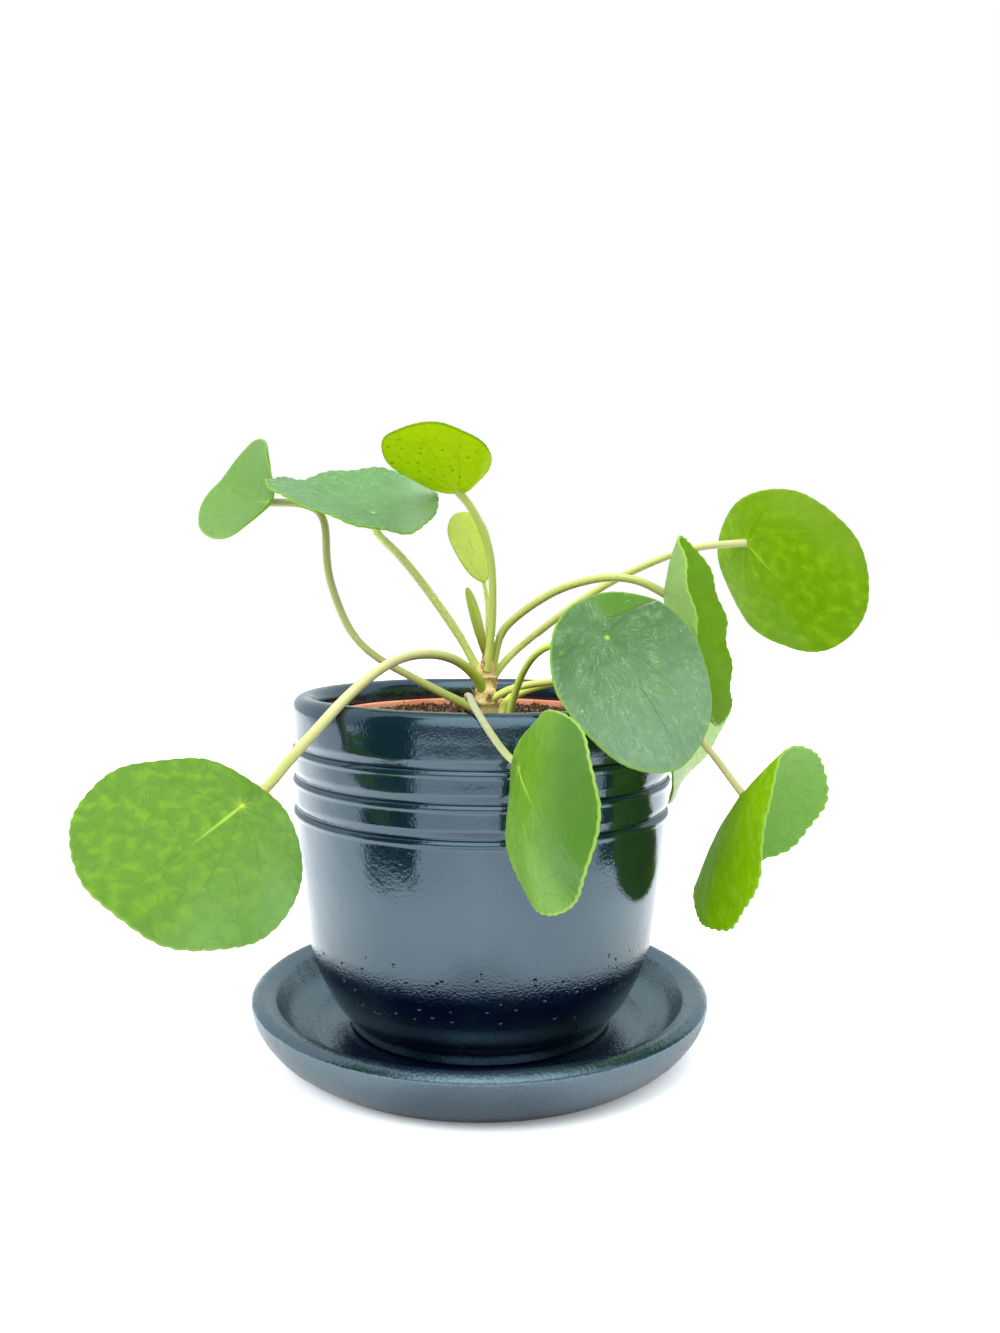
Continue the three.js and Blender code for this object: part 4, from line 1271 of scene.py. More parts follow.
# %% Leaf skin
# Grey of the painted sheen streaks
SHEEN_GREY = colour(150, 182, 150)
FLECK = colour(206, 222, 180)
# How strongly the painted light and shade of a side covers the blade's own green
PAINTED_SHADING_SHARE = 0.75
GLOW_SHARE = 0.55
NET_SHADE = 0.5
PATCH_SPAN = (0.42, 0.74)
# Width in mm of the duller and shinier parts of the wax, and how far they go
WAX_SIZE = 2.5
WAX_LESS, WAX_MORE = 0.07, 0.1
# Scale and size of the drift that makes the fine lines wander
DRIFT = (6.0, 0.13)
# Widths in mm of the parts with flecks and of the flecks
FLECK_SIZES = (6.0, 0.7)
# Width in mm and share of the pores, share of the sunken net, and the bump of both
PORES = (1.1, 0.6)
NET_SUNK = -1.4
SKIN_BUMP = (0.00022, 0.8)


def length(tree, vector):
    return node(tree, "ShaderNodeVectorMath", {0: vector}, operation="LENGTH").outputs["Value"]


def let_through(tree, shader, share, shade, **inputs):
    """Mixes in a share of light that comes through a thin sheet, in a colour of its own."""
    passing = node(tree, "ShaderNodeBsdfTranslucent", {"Color": shade, **inputs}).outputs["BSDF"]
    mixed = node(tree, "ShaderNodeMixShader", {0: share, 1: shader.outputs["BSDF"], 2: passing})
    tree.links.new(mixed.outputs["Shader"], tree.nodes["Material Output"].inputs["Surface"])


def leaf_skin(name, main, patch, rim, glow, through_share, size, midrib=0.6, spokes=0.3, net=0.12,
              patch_share=0.6, patch_size=6.5, dots=None, sheen=0.0, flecks=0.0, sides=(),
              rim_share=0.6, rim_width=0.8, roughness=0.4, shine=0.5, lobe=None, tear=None):
    """One side of a blade. size is the blade's longest reach in mm, for details of a real size."""
    material, tree, shader = new_material(name)
    uv = node(tree, "ShaderNodeUVMap", uv_map="blade_map").outputs["UV"]
    place = node(tree, "ShaderNodeVectorMath", {0: uv, 1: (2, 2, 0), 2: (-1, -1, 0)},
                 operation="MULTIPLY_ADD").outputs["Vector"]
    reach = length(tree, place)
    scale, shift = DRIFT
    wander = node(tree, "ShaderNodeTexNoise", {"Vector": place, "Scale": scale, "Detail": 2.0})
    drift = node(tree, "ShaderNodeVectorMath", {0: wander.outputs["Color"], 1: (shift, shift, 0),
                 2: place}, operation="MULTIPLY_ADD").outputs["Vector"]
    patches = noise(tree, place, size / patch_size, 1.5, 0.5)
    base = blend_colour(tree, remap(tree, patches, *PATCH_SPAN, 0.0, patch_share), main, patch)
    # The sides paint light and shade over parts of a blade, except the bud's, which is its own brown
    for angle, start, end, shade in sides:
        base = blend_colour(tree, towards(tree, place, angle, start, end, PAINTED_SHADING_SHARE), base, shade)
    lines = vein_net(tree, drift, size, net)
    base = blend_colour(tree, lines, base, darker(main, NET_SHADE))
    # Painted sheen: pale grey streaks over the green
    if sheen:
        base = blend_colour(tree, sheen_streaks(tree, place, drift, reach, size, sheen), base, SHEEN_GREY)
    if lobe is not None:
        base = blend_colour(tree, torn_lobe(tree, place, size, tear), base, lobe)
    base = with_veins(tree, base, place, reach, size, main, midrib, spokes)
    if dots is not None:
        gap, radius, most, shade = dots
        base = blend_colour(tree, round_dots(tree, place, size, gap, radius, most), base, shade)
    if flecks:
        wide, fine = FLECK_SIZES
        where = remap(tree, noise(tree, place, size / wide, 2), 0.5, 0.62)
        grain = remap(tree, noise(tree, drift, size / fine, 2, 0.6), 0.6, 0.7, 0.0, flecks)
        base = blend_colour(tree, maths(tree, "MULTIPLY", where, grain), base, FLECK)
    margin = node(tree, "ShaderNodeAttribute", attribute_name="margin").outputs["Fac"]
    base = blend_colour(tree, remap(tree, margin, 0.3 * rim_width, rim_width, rim_share, 0.0), base, rim)
    wax = remap(tree, noise(tree, place, size / WAX_SIZE, 3), 0.35, 0.7, roughness - WAX_LESS,
                roughness + WAX_MORE)
    pore_size, pore_depth = PORES
    pores = maths(tree, "MULTIPLY", noise(tree, place, size / pore_size, 2), pore_depth)
    relief = bump(tree, maths(tree, "ADD", maths(tree, "MULTIPLY", lines, NET_SUNK), pores), *SKIN_BUMP)
    fill(tree, shader, {"Base Color": base, "Roughness": wax, "Specular IOR Level": shine,
                        "Normal": relief})
    let_through(tree, shader, through_share, blend_colour(tree, GLOW_SHARE, base, glow),
                Normal=relief)
    return material


# %% [markdown]
# ## Dressing the leaves
#
# No two leaves have quite the same green. The old front leaves are deep and bluish, the hanging
# ones bright, and the young ones nearly yellow, so each leaf names its own colours for the side
# that looks up and the side that looks down. The greens also hold painted light: leaves that lie
# in shade here, such as behind_torn, low_right and right_folded, are painted lighter to make up for it.

# %% Leaf colours
LEAF_SHADE = 0.68
GLOW = colour(190, 235, 40)


def leaf_green(*shade):
    """A leaf colour read as it looks in bright light, taken down to the skin's own colour."""
    return tuple(share * LEAF_SHADE for share in colour(*shade)[:3]) + (1.0,)


# Upper main and patch, rim, under main and patch
# Partly painted light: the greens of leaves that lie in shade are painted lighter
LEAF_COLOURS = {
    "front_left": ((101, 148, 34), (146, 192, 22), (176, 196, 110), (110, 158, 40), (134, 180, 40)),
    "front_torn": ((86, 130, 77), (112, 158, 104), (156, 200, 70), (96, 156, 36), (130, 180, 60)),
    "front_hanging": ((117, 170, 31), (138, 188, 60), (176, 212, 100), (100, 156, 14), (136, 184, 40)),
    "behind_torn": ((177, 206, 122), (172, 204, 104), (190, 220, 110), (120, 180, 30), (140, 190, 40)),
    "low_right": ((138, 190, 86), (150, 200, 92), (184, 222, 110), (166, 216, 4), (198, 236, 62)),
    "right_folded": ((124, 167, 30), (136, 180, 50), (190, 222, 90), (175, 212, 126), (188, 220, 140)),
    "far_right": ((130, 178, 20), (160, 204, 50), (160, 200, 40), (136, 177, 1), (194, 220, 44)),
    "top": ((216, 236, 10), (224, 242, 20), (120, 150, 20), (222, 240, 8), (228, 244, 18)),
    "young": ((236, 244, 116), (240, 248, 130), (210, 220, 90), (240, 246, 116), (244, 250, 132)),
    "upper_left": ((108, 156, 100), (130, 172, 112), (150, 200, 50), (118, 170, 30), (138, 184, 44)),
    "far_left": ((122, 164, 86), (136, 178, 98), (150, 200, 70), (94, 144, 4), (120, 168, 16)),
    "bud": ((206, 216, 110), (210, 206, 110), (190, 190, 100), (206, 214, 100), (214, 206, 100)),
}
# Marks that differ from the usual ones. Each of the sides is an angle on the blade, the two shares
# of its reach between which the colour changes, and the colour. All sides but the bud's are painted
# light and shade: front_left's greyer part, front_torn's whitish part and upper_left's pale grey part
# are painted sheen, and far_right's whitish part is a painted highlight. front_hanging has painted
# light on its left and painted shade towards its tip. far_left's saturated green behind the hub is
# painted shade, standing for the shaded underside at its fold. The bud's brown foot is its own
# colour. The sheen streaks of front_torn and upper_left are painted sheen too. Dots have a gap and a
# radius in mm, a share and a colour.
LEAF_MARKS = {
    "front_left": {"patch_share": 0.6, "patch_size": 4.2, "spokes": 0.34, "midrib": 0.75, "net": 0.18,
                   "rim_width": 0.6, "sides": [(90, 0.0, 0.7, leaf_green(118, 164, 92))]},
    "front_torn": {"sheen": 0.45, "flecks": 0.9, "roughness": 0.36, "midrib": 0.1, "spokes": 0.2,
                   "rim_width": 1.0, "rim_share": 0.8,
                   "sides": [(0, -0.1, 0.7, leaf_green(153, 190, 158))],
                   "dots": (8, 0.9, 0.6, leaf_green(140, 190, 70))},
    "front_hanging": {"patch_share": 0.5, "roughness": 0.36, "spokes": 0.12, "rim_share": 0.9,
                      "rim_width": 1.0, "midrib": 0.65, "net": 0.18,
                      "sides": [(-115, 0.0, 0.35, leaf_green(150, 196, 92)),
                                (30, 0.2, 0.7, leaf_green(60, 110, 36)),
                                (-90, 0.1, 0.4, leaf_green(132, 180, 70))]},
    "low_right": {"spokes": 0.15, "rim_share": 0.8, "net": 0.22, "patch_share": 0.75, "patch_size": 5},
    "right_folded": {"spokes": 0.15},
    "far_right": {"patch_share": 0.55, "patch_size": 4.5, "spokes": 0.15, "rim_share": 0.3,
                  "sides": [(-100, 0.2, 0.55, leaf_green(154, 182, 66))]},
    "top": {"dots": (3.6, 0.6, 0.9, leaf_green(96, 134, 8)), "net": 0.2, "midrib": 0.1, "spokes": 0.4,
            "rim_share": 0.8},
    "young": {"dots": (3.2, 0.4, 0.5, leaf_green(150, 170, 60)), "midrib": 0.1},
    "upper_left": {"roughness": 0.34, "patch_share": 0.4, "midrib": 0.1, "spokes": 0.1, "sheen": 0.3,
                   "sides": [(-140, 0.1, 0.45, leaf_green(166, 192, 162))]},
    "far_left": {"patch_share": 0.4, "spokes": 0.12, "midrib": 0.3,
                 "sides": [(180, 0.02, 0.16, leaf_green(92, 141, 2))]},
    "bud": {"spokes": 0.0, "midrib": 0.0, "net": 0.08,
            "sides": [(180, -0.6, -0.05, leaf_green(170, 120, 70))]},
}
print("leaves with marks of their own:", len(LEAF_MARKS))


# %% [markdown]
# ## The tear
#
# The large leaf in front on the right is torn in from its margin, and the edge of the tear has
# dried brown. Its lobe already leans back in the formulas above. Here a Boolean modifier cuts a
# thin wedge out of the finished blade, so that the mesh stays closed, and hands the wedge's brown
# on to the cut faces.

# %% The tear
LOBE_GREEN = leaf_green(88, 142, 2)
TORN_EDGE = colour(120, 84, 40)
TORN_EDGE_PALE = colour(196, 170, 96)
TEAR_SEEN = 0.3
TEAR_CUT = (-18, 12)


def torn_edge():
    material, tree, shader = new_material("torn_edge")
    grains = remap(tree, noise(tree, object_place(tree), 1600, 3), 0.35, 0.65)
    base = blend_colour(tree, grains, TORN_EDGE, TORN_EDGE_PALE)
    fill(tree, shader, {"Base Color": base, "Roughness": 0.8})
    return material


def tear_blade(piece, leaf):
    """Cuts the wedge of air out of a torn blade. The cut faces keep the wedge's brown."""
    inner, outer = leaf["tear"]["inner"], leaf["tear"]["outer"]
    half = TEAR_SEEN / 2
    axes, hub = leaf_axes(leaf), np.array(leaf["hub"])
    flat = [inner, (outer[0] + half, outer[1]), (outer[0] - half, outer[1])]
    points = [hub + np.array([x, y, z]) @ axes for z in TEAR_CUT for x, y in flat]
    faces = [(2, 1, 0), (3, 4, 5), (0, 1, 4, 3), (1, 2, 5, 4), (2, 0, 3, 5)]
    wedge = mesh_piece("tear_wedge", points, faces, [torn_edge()])
    cut = piece.modifiers.new("tear", "BOOLEAN")
    cut.operation, cut.object, cut.solver, cut.material_mode = "DIFFERENCE", wedge, "EXACT", "TRANSFER"
    seen = piece.evaluated_get(bpy.context.evaluated_depsgraph_get())
    piece.data = bpy.data.meshes.new_from_object(seen)
    piece.modifiers.remove(cut)
    bpy.data.objects.remove(wedge)


# %% [markdown]
# ## The blades in place
#
# Each leaf gets two skins of its own and then its mesh. An underside is duller than an upper side
# and lets a little more light through. Leaves of a small reach need fewer points round them.

# %% Blades
THROUGH_OVER = 0.4
THROUGH_BELOW = 0.5
UNDERSIDE = {"roughness": 0.5, "shine": 0.12}
SMALL_BLADE = 30
SMALL_AROUND = 96
for name, leaf in LEAVES.items():
    size = blade_size(leaf)[0]
    over, over_patch, rim, below, below_patch = (leaf_green(*shade) for shade in LEAF_COLOURS[name])
    marks = {"size": size, **LEAF_MARKS.get(name, {})}
    if "tear" in leaf:
        marks.update(lobe=LOBE_GREEN, tear=leaf["tear"])
    skin_over = leaf_skin(f"leaf_over_{name}", over, over_patch, rim, GLOW, THROUGH_OVER, **marks)
    marks.update(UNDERSIDE)
    skin_below = leaf_skin(f"leaf_below_{name}", below, below_patch, rim, GLOW, THROUGH_BELOW, **marks)
    around = BLADE_AROUND if size > SMALL_BLADE else SMALL_AROUND
    scallops = SCALLOP_DEPTHS.get(name, PLAIN_DEPTH)
    blade = blade_piece(f"leaf_{name}", leaf, [skin_over, skin_below], around, scallops)
    if "tear" in leaf:
        tear_blade(blade, leaf)
    dress(blade, "leaf", f"blade_{name}")


# %% [markdown]
# ## Stalks
#
# A stalk is a round, slightly ribbed stem that follows a smooth path. Geometry Nodes sweep it:
# the path becomes a smooth spline, a blur takes its last kinks out, a circle runs along it, its
# size swells at the foot and under the blade, and noise moves the skin in and out a little. The
# place along the stalk is stored, so that its finish can go from foot to head. The end of the
# stem is then tucked into the thickness of the blade, so that nothing shows on the upper side.

# %% Stalk tree
STALK_SIDES = 20
STALK_POINTS = 130
FOOT_SWELL = 0.15
HEAD_SWELL = 0.12
RIB_HEIGHT = 0.04 * MM
FOOT_SHARP = 9.0
HEAD_SHARP = 14.0
SPLINE_STEPS = 16
KINK_PASSES = 30
HELD_ENDS = 40.0
RIB_SCALE = 420.0


def stalk_tree():
    group = new_group("sweep_stalk", "GeometryNodeTree", {
        "Geometry": "Geometry", "Radius": "Float", "Sides": "Int", "Points": "Int",
        "Foot swell": "Float", "Head swell": "Float", "Ribs": "Float", "Material": "Material"},
        {"Geometry": "Geometry"})
    ends = node(group, "NodeGroupInput").outputs
    smooth = node(group, "GeometryNodeCurveSplineType", {"Curve": ends["Geometry"]},
                  spline_type="CATMULL_ROM")
    fine = node(group, "GeometryNodeSetSplineResolution", {"Geometry": smooth.outputs["Curve"],
                                                          "Resolution": SPLINE_STEPS})
    even = node(group, "GeometryNodeResampleCurve", {"Curve": fine.outputs[0],
                                                    "Count": ends["Points"]})
    factor = node(group, "GeometryNodeSplineParameter").outputs["Factor"]
    place = node(group, "GeometryNodeInputPosition").outputs["Position"]
    left = maths(group, "SUBTRACT", 1.0, factor)
    held = maths(group, "MULTIPLY", maths(group, "MULTIPLY", factor, HELD_ENDS, clamp=True),
                 maths(group, "MULTIPLY", left, HELD_ENDS, clamp=True))
    blurred = node(group, "GeometryNodeBlurAttribute", {"Value": place, "Iterations": KINK_PASSES,
                                                       "Weight": held}, data_type="FLOAT_VECTOR")
    soft = node(group, "GeometryNodeSetPosition", {"Geometry": even.outputs["Curve"],
                                                  "Position": blurred.outputs["Value"]})
    kept = node(group, "GeometryNodeStoreNamedAttribute", {
        "Geometry": soft.outputs["Geometry"], "Name": "along", "Value": factor}, data_type="FLOAT",
        domain="POINT")
    foot, head = maths(group, "POWER", left, FOOT_SHARP), maths(group, "POWER", factor, HEAD_SHARP)
    swell = maths(group, "ADD", maths(group, "MULTIPLY_ADD", foot, ends["Foot swell"], 1.0),
                  maths(group, "MULTIPLY", head, ends["Head swell"]))
    circle = node(group, "GeometryNodeCurvePrimitiveCircle", {"Resolution": ends["Sides"],
                                                             "Radius": ends["Radius"]})
    tube = node(group, "GeometryNodeCurveToMesh", {
        "Curve": kept.outputs["Geometry"], "Profile Curve": circle.outputs["Curve"], "Scale": swell,
        "Fill Caps": True})
    bumps = node(group, "ShaderNodeTexNoise", {"Scale": RIB_SCALE, "Detail": 2.0}).outputs["Fac"]
    push = maths(group, "MULTIPLY", maths(group, "SUBTRACT", bumps, 0.5), ends["Ribs"])
    offset = node(group, "ShaderNodeVectorMath", {
        0: node(group, "GeometryNodeInputNormal").outputs["Normal"], "Scale": push}, operation="SCALE")
    ribbed = node(group, "GeometryNodeSetPosition", {"Geometry": tube.outputs["Mesh"],
                                                    "Offset": offset.outputs["Vector"]})
    shaded = node(group, "GeometryNodeSetShadeSmooth", {"Geometry": ribbed.outputs["Geometry"]})
    real = node(group, "GeometryNodeRealizeInstances", {"Geometry": shaded.outputs["Geometry"]})
    done = node(group, "GeometryNodeSetMaterial", {"Geometry": real.outputs["Geometry"],
                                                  "Material": ends["Material"]})
    node(group, "NodeGroupOutput", {"Geometry": done.outputs["Geometry"]})
    return group


sweep = stalk_tree()
print("stalk tree:", len(sweep.nodes), "nodes")


# %% Stalk finish
STALK_SHADE = 0.91
STALK_SAP = {"Subsurface Weight": 0.15, "Subsurface Radius": (0.6, 1.0, 0.2),
             "Subsurface Scale": 0.0015}


def stalk_skin(name, foot, body, head):
    """A waxy stem, from the colour of its foot through that of its body to its head."""
    material, tree, shader = new_material(name)
    place = object_place(tree)
    along = node(tree, "ShaderNodeAttribute", attribute_name="along").outputs["Fac"]
    patches = noise(tree, place, 130, 3)
    at = maths(tree, "ADD", along, maths(tree, "MULTIPLY", maths(tree, "SUBTRACT", patches, 0.5), 0.25))
    base = blend_colour(tree, remap(tree, at, 0.0, 0.3), foot, body)
    base = blend_colour(tree, remap(tree, at, 0.6, 1.0), base, head)
    fine = noise(tree, place, 900, 3)
    base = blend_colour(tree, remap(tree, fine, 0.45, 0.75, 0.0, 0.2), base, darker(head, 1.15))
    fill(tree, shader, {"Base Color": base, "Roughness": 0.42, **STALK_SAP,
                        "Normal": bump(tree, fine, 0.00015, 0.2)})
    return material


# Foot, body and head colours. Some also hold painted light: the feet of front_torn, behind_torn and
# low_right, which lie in shade, and the heads of upper_left and far_left under their blades are
# painted lighter to make up for that shade.
STALK_COLOURS = {
    "front_left": ((156, 174, 50), (190, 189, 134), (168, 173, 92)),
    "front_torn": ((196, 214, 100), (190, 208, 92), (170, 190, 90)),
    "front_hanging": ((160, 160, 126), (144, 146, 116), (186, 194, 128)),
    "behind_torn": ((216, 236, 110), (226, 232, 116), (190, 210, 100)),
    "low_right": ((206, 222, 110), (200, 206, 120), (210, 198, 144)),
    "right_folded": ((186, 206, 104), (172, 176, 92), (176, 186, 108)),
    "far_right": ((206, 216, 124), (174, 176, 92), (186, 185, 128)),
    "top": ((186, 192, 88), (160, 176, 82), (170, 182, 94)),
    "young": ((196, 198, 98), (200, 210, 120), (210, 222, 130)),
    "upper_left": ((190, 202, 104), (178, 190, 104), (240, 240, 168)),
    "far_left": ((156, 170, 70), (154, 156, 94), (178, 176, 116)),
}
print("stalk finishes:", len(STALK_COLOURS))


# %% Stalks
TUCK = 0.25
TUCK_REACH = 9
TUCK_MOST = 4


def stalk_path(name, leaf):
    """The stalk's path as a line object. It ends inside the thickness of the blade."""
    end = np.array(leaf["hub"]) - TUCK * leaf_axes(leaf)[2]
    route = [np.array(knot) for knot in leaf["path"]] + [end]
    line = bpy.data.curves.new(name, "CURVE")
    line.dimensions = "3D"
    spline = line.splines.new("POLY")
    spline.points.add(len(route) - 1)
    for point, place in zip(spline.points, route):
        point.co = (*(place * MM), 1.0)
    path = bpy.data.objects.new(name, line)
    bpy.context.scene.collection.objects.link(path)
    return path


def tuck(stalk, leaf):
    """Moves what would stand out of the upper side near the hub down into the blade."""
    share, x, y, margin = flat_blade(leaf, SMALL_AROUND)
    middle, normal = middle_surface(leaf, x, y, share)
    near = (np.hypot(x, y) < TUCK_REACH) & (margin > 0.5)
    middle, normal = middle[near], normal[near]
    tree = KDTree(len(middle))
    for i, place in enumerate(middle):
        tree.insert(place, i)
    tree.balance()
    hub = Vector(leaf["hub"])
    for corner in stalk.data.vertices:
        place = corner.co / MM
        if (place - hub).length > TUCK_REACH:
            continue
        _, i, _ = tree.find(place)
        out = Vector(normal[i])
        above = (place - Vector(middle[i])).dot(out) + TUCK
        if 0 < above < TUCK_MOST:
            corner.co = (place - out * above) * MM
    stalk.data.update()


for name, leaf in LEAVES.items():
    if "path" not in leaf:
        continue
    shades = [darker(colour(*shade), STALK_SHADE) for shade in STALK_COLOURS[name]]
    skin = stalk_skin(f"stalk_skin_{name}", *shades)
    path = stalk_path(f"path_{name}", leaf)
    stalk = grown(path, sweep, {
        "Radius": leaf["radius"] * MM, "Sides": STALK_SIDES, "Points": STALK_POINTS,
        "Foot swell": FOOT_SWELL, "Head swell": HEAD_SWELL, "Ribs": 2 * RIB_HEIGHT,
        "Material": skin}, f"stem_{name}")
    bpy.data.objects.remove(path)
    tuck(stalk, leaf)
    dress(stalk, "stalk", f"stalk_{name}")


# %% [markdown]
# ## Trunk
#
# The trunk is a short woody stem. Each leaf that fell left a swollen scar, so its profile bulges
# at each scar. It is spun like the pots, and ripples then make it as uneven as bark.

# %% Trunk
TRUNK = {"x": 1, "y": -1, "bottom": 101, "top": 134.5, "radius": 3.7}
SCARS = [108, 114.5, 119.5, 124, 128.5]
TRUNK_LUMPS = [(61, 3.4, 0.38), (62, 1.4, 0.1)]
TRUNK_STEP = 0.45
AROUND_TRUNK = 72
BARK = colour(176, 164, 88)
BARK_TAN = colour(220, 194, 136)
BARK_DARK = colour(150, 108, 66)
PAPER = colour(222, 196, 150)
PAPER_BROWN = colour(160, 118, 74)


def trunk_bark():
    material, tree, shader = new_material("trunk_bark")
    place = object_place(tree)
    patches, fine = noise(tree, place, 240, 4, 0.6), noise(tree, place, 1300, 4, 0.6)
    base = blend_colour(tree, remap(tree, patches, 0.35, 0.65), BARK, BARK_TAN)
    base = blend_colour(tree, remap(tree, fine, 0.52, 0.75, 0.0, 0.6), base, BARK_DARK)
    fill(tree, shader, {"Base Color": base, "Roughness": 0.7, "Normal": bump(tree, fine, 0.0004, 0.7)})
    return material


def trunk_push(points):
    return ripples(points - np.array([TRUNK["x"], TRUNK["y"], 0]), TRUNK_LUMPS)


def trunk_profile():
    """A stem that swells under each scar and narrows to its tip."""
    radius, low, high = TRUNK["radius"], TRUNK["bottom"], TRUNK["top"]
    corners = [(0, low, 0), (radius - 0.8, low, 0.4)]
    for z in SCARS:
        corners += [(radius - 0.1, z - 1.7, 0.8), (radius + 0.4, z - 0.2, 0.5),
                    (radius - 0.1, z + 0.9, 0.6)]
    corners += [(radius - 0.4, high - 3, 1.2), (radius - 1.6, high - 0.6, 0.6), (0, high, 0)]
    return evenly(rounded(corners), TRUNK_STEP)


trunk = spin("stem_trunk", trunk_profile(), AROUND_TRUNK, trunk_bark(), trunk_push)
trunk.data.transform(Matrix.Translation((TRUNK["x"] * MM, TRUNK["y"] * MM, 0)))
dress(trunk, "trunk", "trunk")


# %% [markdown]
# ## Papery scales
#
# Thin papery scales that once wrapped the buds are left along the trunk. They are small curved
# sheets, placed by their compass angle, height and lean. A sheet of no thickness would have no
# edge to catch light, so a Solidify modifier makes it as thick as paper.

# %% Papery scales
# Compass angle, height, lean outwards in degrees, length and width in mm
SCALES = [(100, 128.5, 8, 7, 2.6), (215, 126, 14, 7, 2.6), (330, 124, 18, 7, 2.4),
          (255, 130, 6, 6.5, 2.2), (285, 119, 24, 4, 3.0), (180, 121, 26, 4.5, 2.8),
          (40, 122, 22, 4.5, 3.0), (310, 113, 28, 3.5, 2.6), (230, 112, 30, 3.5, 2.8),
          (265, 107, 30, 3, 2.6), (20, 114, 30, 4, 2.6), (140, 116, 26, 4, 2.8)]
SCALE_ROWS = 9
SCALE_COLUMNS = 7
SCALE_THICKNESS = 0.12
PAPER_THROUGH = 0.35


def papery_skin():
    material, tree, shader = new_material("papery_scale")
    fine = noise(tree, object_place(tree), 1100, 3)
    base = blend_colour(tree, remap(tree, fine, 0.35, 0.7), PAPER, PAPER_BROWN)
    fill(tree, shader, {"Base Color": base, "Roughness": 0.75})
    let_through(tree, shader, PAPER_THROUGH, base)
    return material


def scale_points(compass, height, lean, length, width):
    """A pointed sheet that hugs the trunk at its foot and curls away at its tip."""
    across = np.linspace(-1, 1, SCALE_COLUMNS)[None, :]
    up = np.linspace(0, 1, SCALE_ROWS)[:, None]
    half = width / 2 * (1 - up ** 1.6) * (1 - 0.15 * (1 - up)) + 0.05
    leaning = length * up * math.tan(math.radians(lean)) * up
    out = TRUNK["radius"] + 0.1 + leaning - 0.5 * (across * (1 - up)) ** 2
    side = across * half
    place = np.stack(np.broadcast_arrays(out, side, height + length * up), axis=-1)
    c, s = math.cos(math.radians(compass)), math.sin(math.radians(compass))
    spun = np.array([[c, s, 0], [-s, c, 0], [0, 0, 1]])
    return (place @ spun + np.array([TRUNK["x"], TRUNK["y"], 0])).reshape(-1, 3)


points, faces = [], []
for facts in SCALES:
    start = len(points)
    points += scale_points(*facts).tolist()
    for row in range(SCALE_ROWS - 1):
        for column in range(SCALE_COLUMNS - 1):
            corner = start + row * SCALE_COLUMNS + column
            faces.append((corner, corner + 1, corner + SCALE_COLUMNS + 1, corner + SCALE_COLUMNS))
scales = mesh_piece("papery_scales", points, faces, [papery_skin()])
thick = scales.modifiers.new("paper", "SOLIDIFY")
thick.thickness = SCALE_THICKNESS * MM
thick.offset = 0
dress(scales, "trunk")


# %% [markdown]
# ## Floor
#
# The floor is a plain pale plane, white round the pot and duller away from it, where the camera
# doesn't look but the paint does. Round the plant it glows a little, a painted light that washes
# out the shadows cast on it. Close to the saucer a shine sees a painted shadow on it instead, as
# the plant's shade would lie there. The floor's own material does all of this, so no lamp has to
# be set up for it, and a Light Path node tells the shine from the camera's view.

# %% Floor
WHITE = (1.0, 1.0, 1.0, 1.0)
BLACK = (0.0, 0.0, 0.0, 1.0)
FLOOR_HALF = 3.0
FLOOR_FRONT = 500
FLOOR_WHITE = 110
FLOOR_DULL = 400
FLOOR_NEAR = (0.93, 0.95, 0.97, 1.0)
FLOOR_FAR = (0.56, 0.58, 0.6, 1.0)
FLOOR_GLOW = 0.13
SIDEWAYS = 0.8
MIRROR_SHADE = 0.6
MIRROR_SHADE_FROM = 70
MIRROR_SHADE_TO = 175
MIRROR_SHADE_WIDE = (15, 55)
MIRROR_SHADE_ASIDE = 0.4


def stage_plane(name, corners, material, seen=True):
    piece = mesh_piece(name, corners, [(0, 1, 2, 3)], [material])
    piece.visible_camera = seen
    return piece


def floor_finish():
    """White round the plant, where a painted glow washes out the shadows on it, and a duller white
    beyond the camera's view in front. A shine sees a painted shadow close to the saucer, where the
    plant's shadow is."""
    material, tree, shader = new_material("pale_floor")
    place = object_place(tree)
    parts = split(tree, place)
    aside = maths(tree, "ABSOLUTE", parts["X"])
    away = maths(tree, "SUBTRACT", maths(tree, "MULTIPLY", aside, SIDEWAYS), parts["Y"])
    near = remap(tree, away, FLOOR_WHITE * MM, FLOOR_DULL * MM, 1.0, 0.0)
    close = remap(tree, length(tree, place), MIRROR_SHADE_FROM * MM, MIRROR_SHADE_TO * MM,
                  MIRROR_SHADE, 0.0)
    start, end = (side * MM for side in MIRROR_SHADE_WIDE)
    close = maths(tree, "MULTIPLY", close, remap(tree, aside, start, end, 1.0, MIRROR_SHADE_ASIDE))
    shade = maths(tree, "MULTIPLY", close, node(tree, "ShaderNodeLightPath").outputs["Is Glossy Ray"])
    base = blend_colour(tree, shade, blend_colour(tree, near, FLOOR_FAR, FLOOR_NEAR), BLACK)
    # Painted light: the floor glows near the plant, less where a shine sees the painted shadow
    lift = maths(tree, "MULTIPLY", near, maths(tree, "SUBTRACT", 1.0, shade))
    fill(tree, shader, {"Base Color": base, "Roughness": 0.8, "Specular IOR Level": 0.1,
                        "Emission Color": WHITE,
                        "Emission Strength": maths(tree, "MULTIPLY", lift, FLOOR_GLOW)})
    return material


half = FLOOR_HALF / MM
stage_plane("pale_floor", [(-half, -FLOOR_FRONT, 0), (half, -FLOOR_FRONT, 0), (half, half, 0),
                           (-half, half, 0)], floor_finish())
print("floor:", 2 * FLOOR_HALF, "m wide")


# %% [markdown]
# ## Boards
#
# Two dark green boards give the pot its dark upright bands. Painting the bands on would fix them
# to the pot, but a plane that is hidden from the camera, from soft light and from shadows is seen
# by glossy surfaces alone, and its reflection bends with the wall as a real one does.

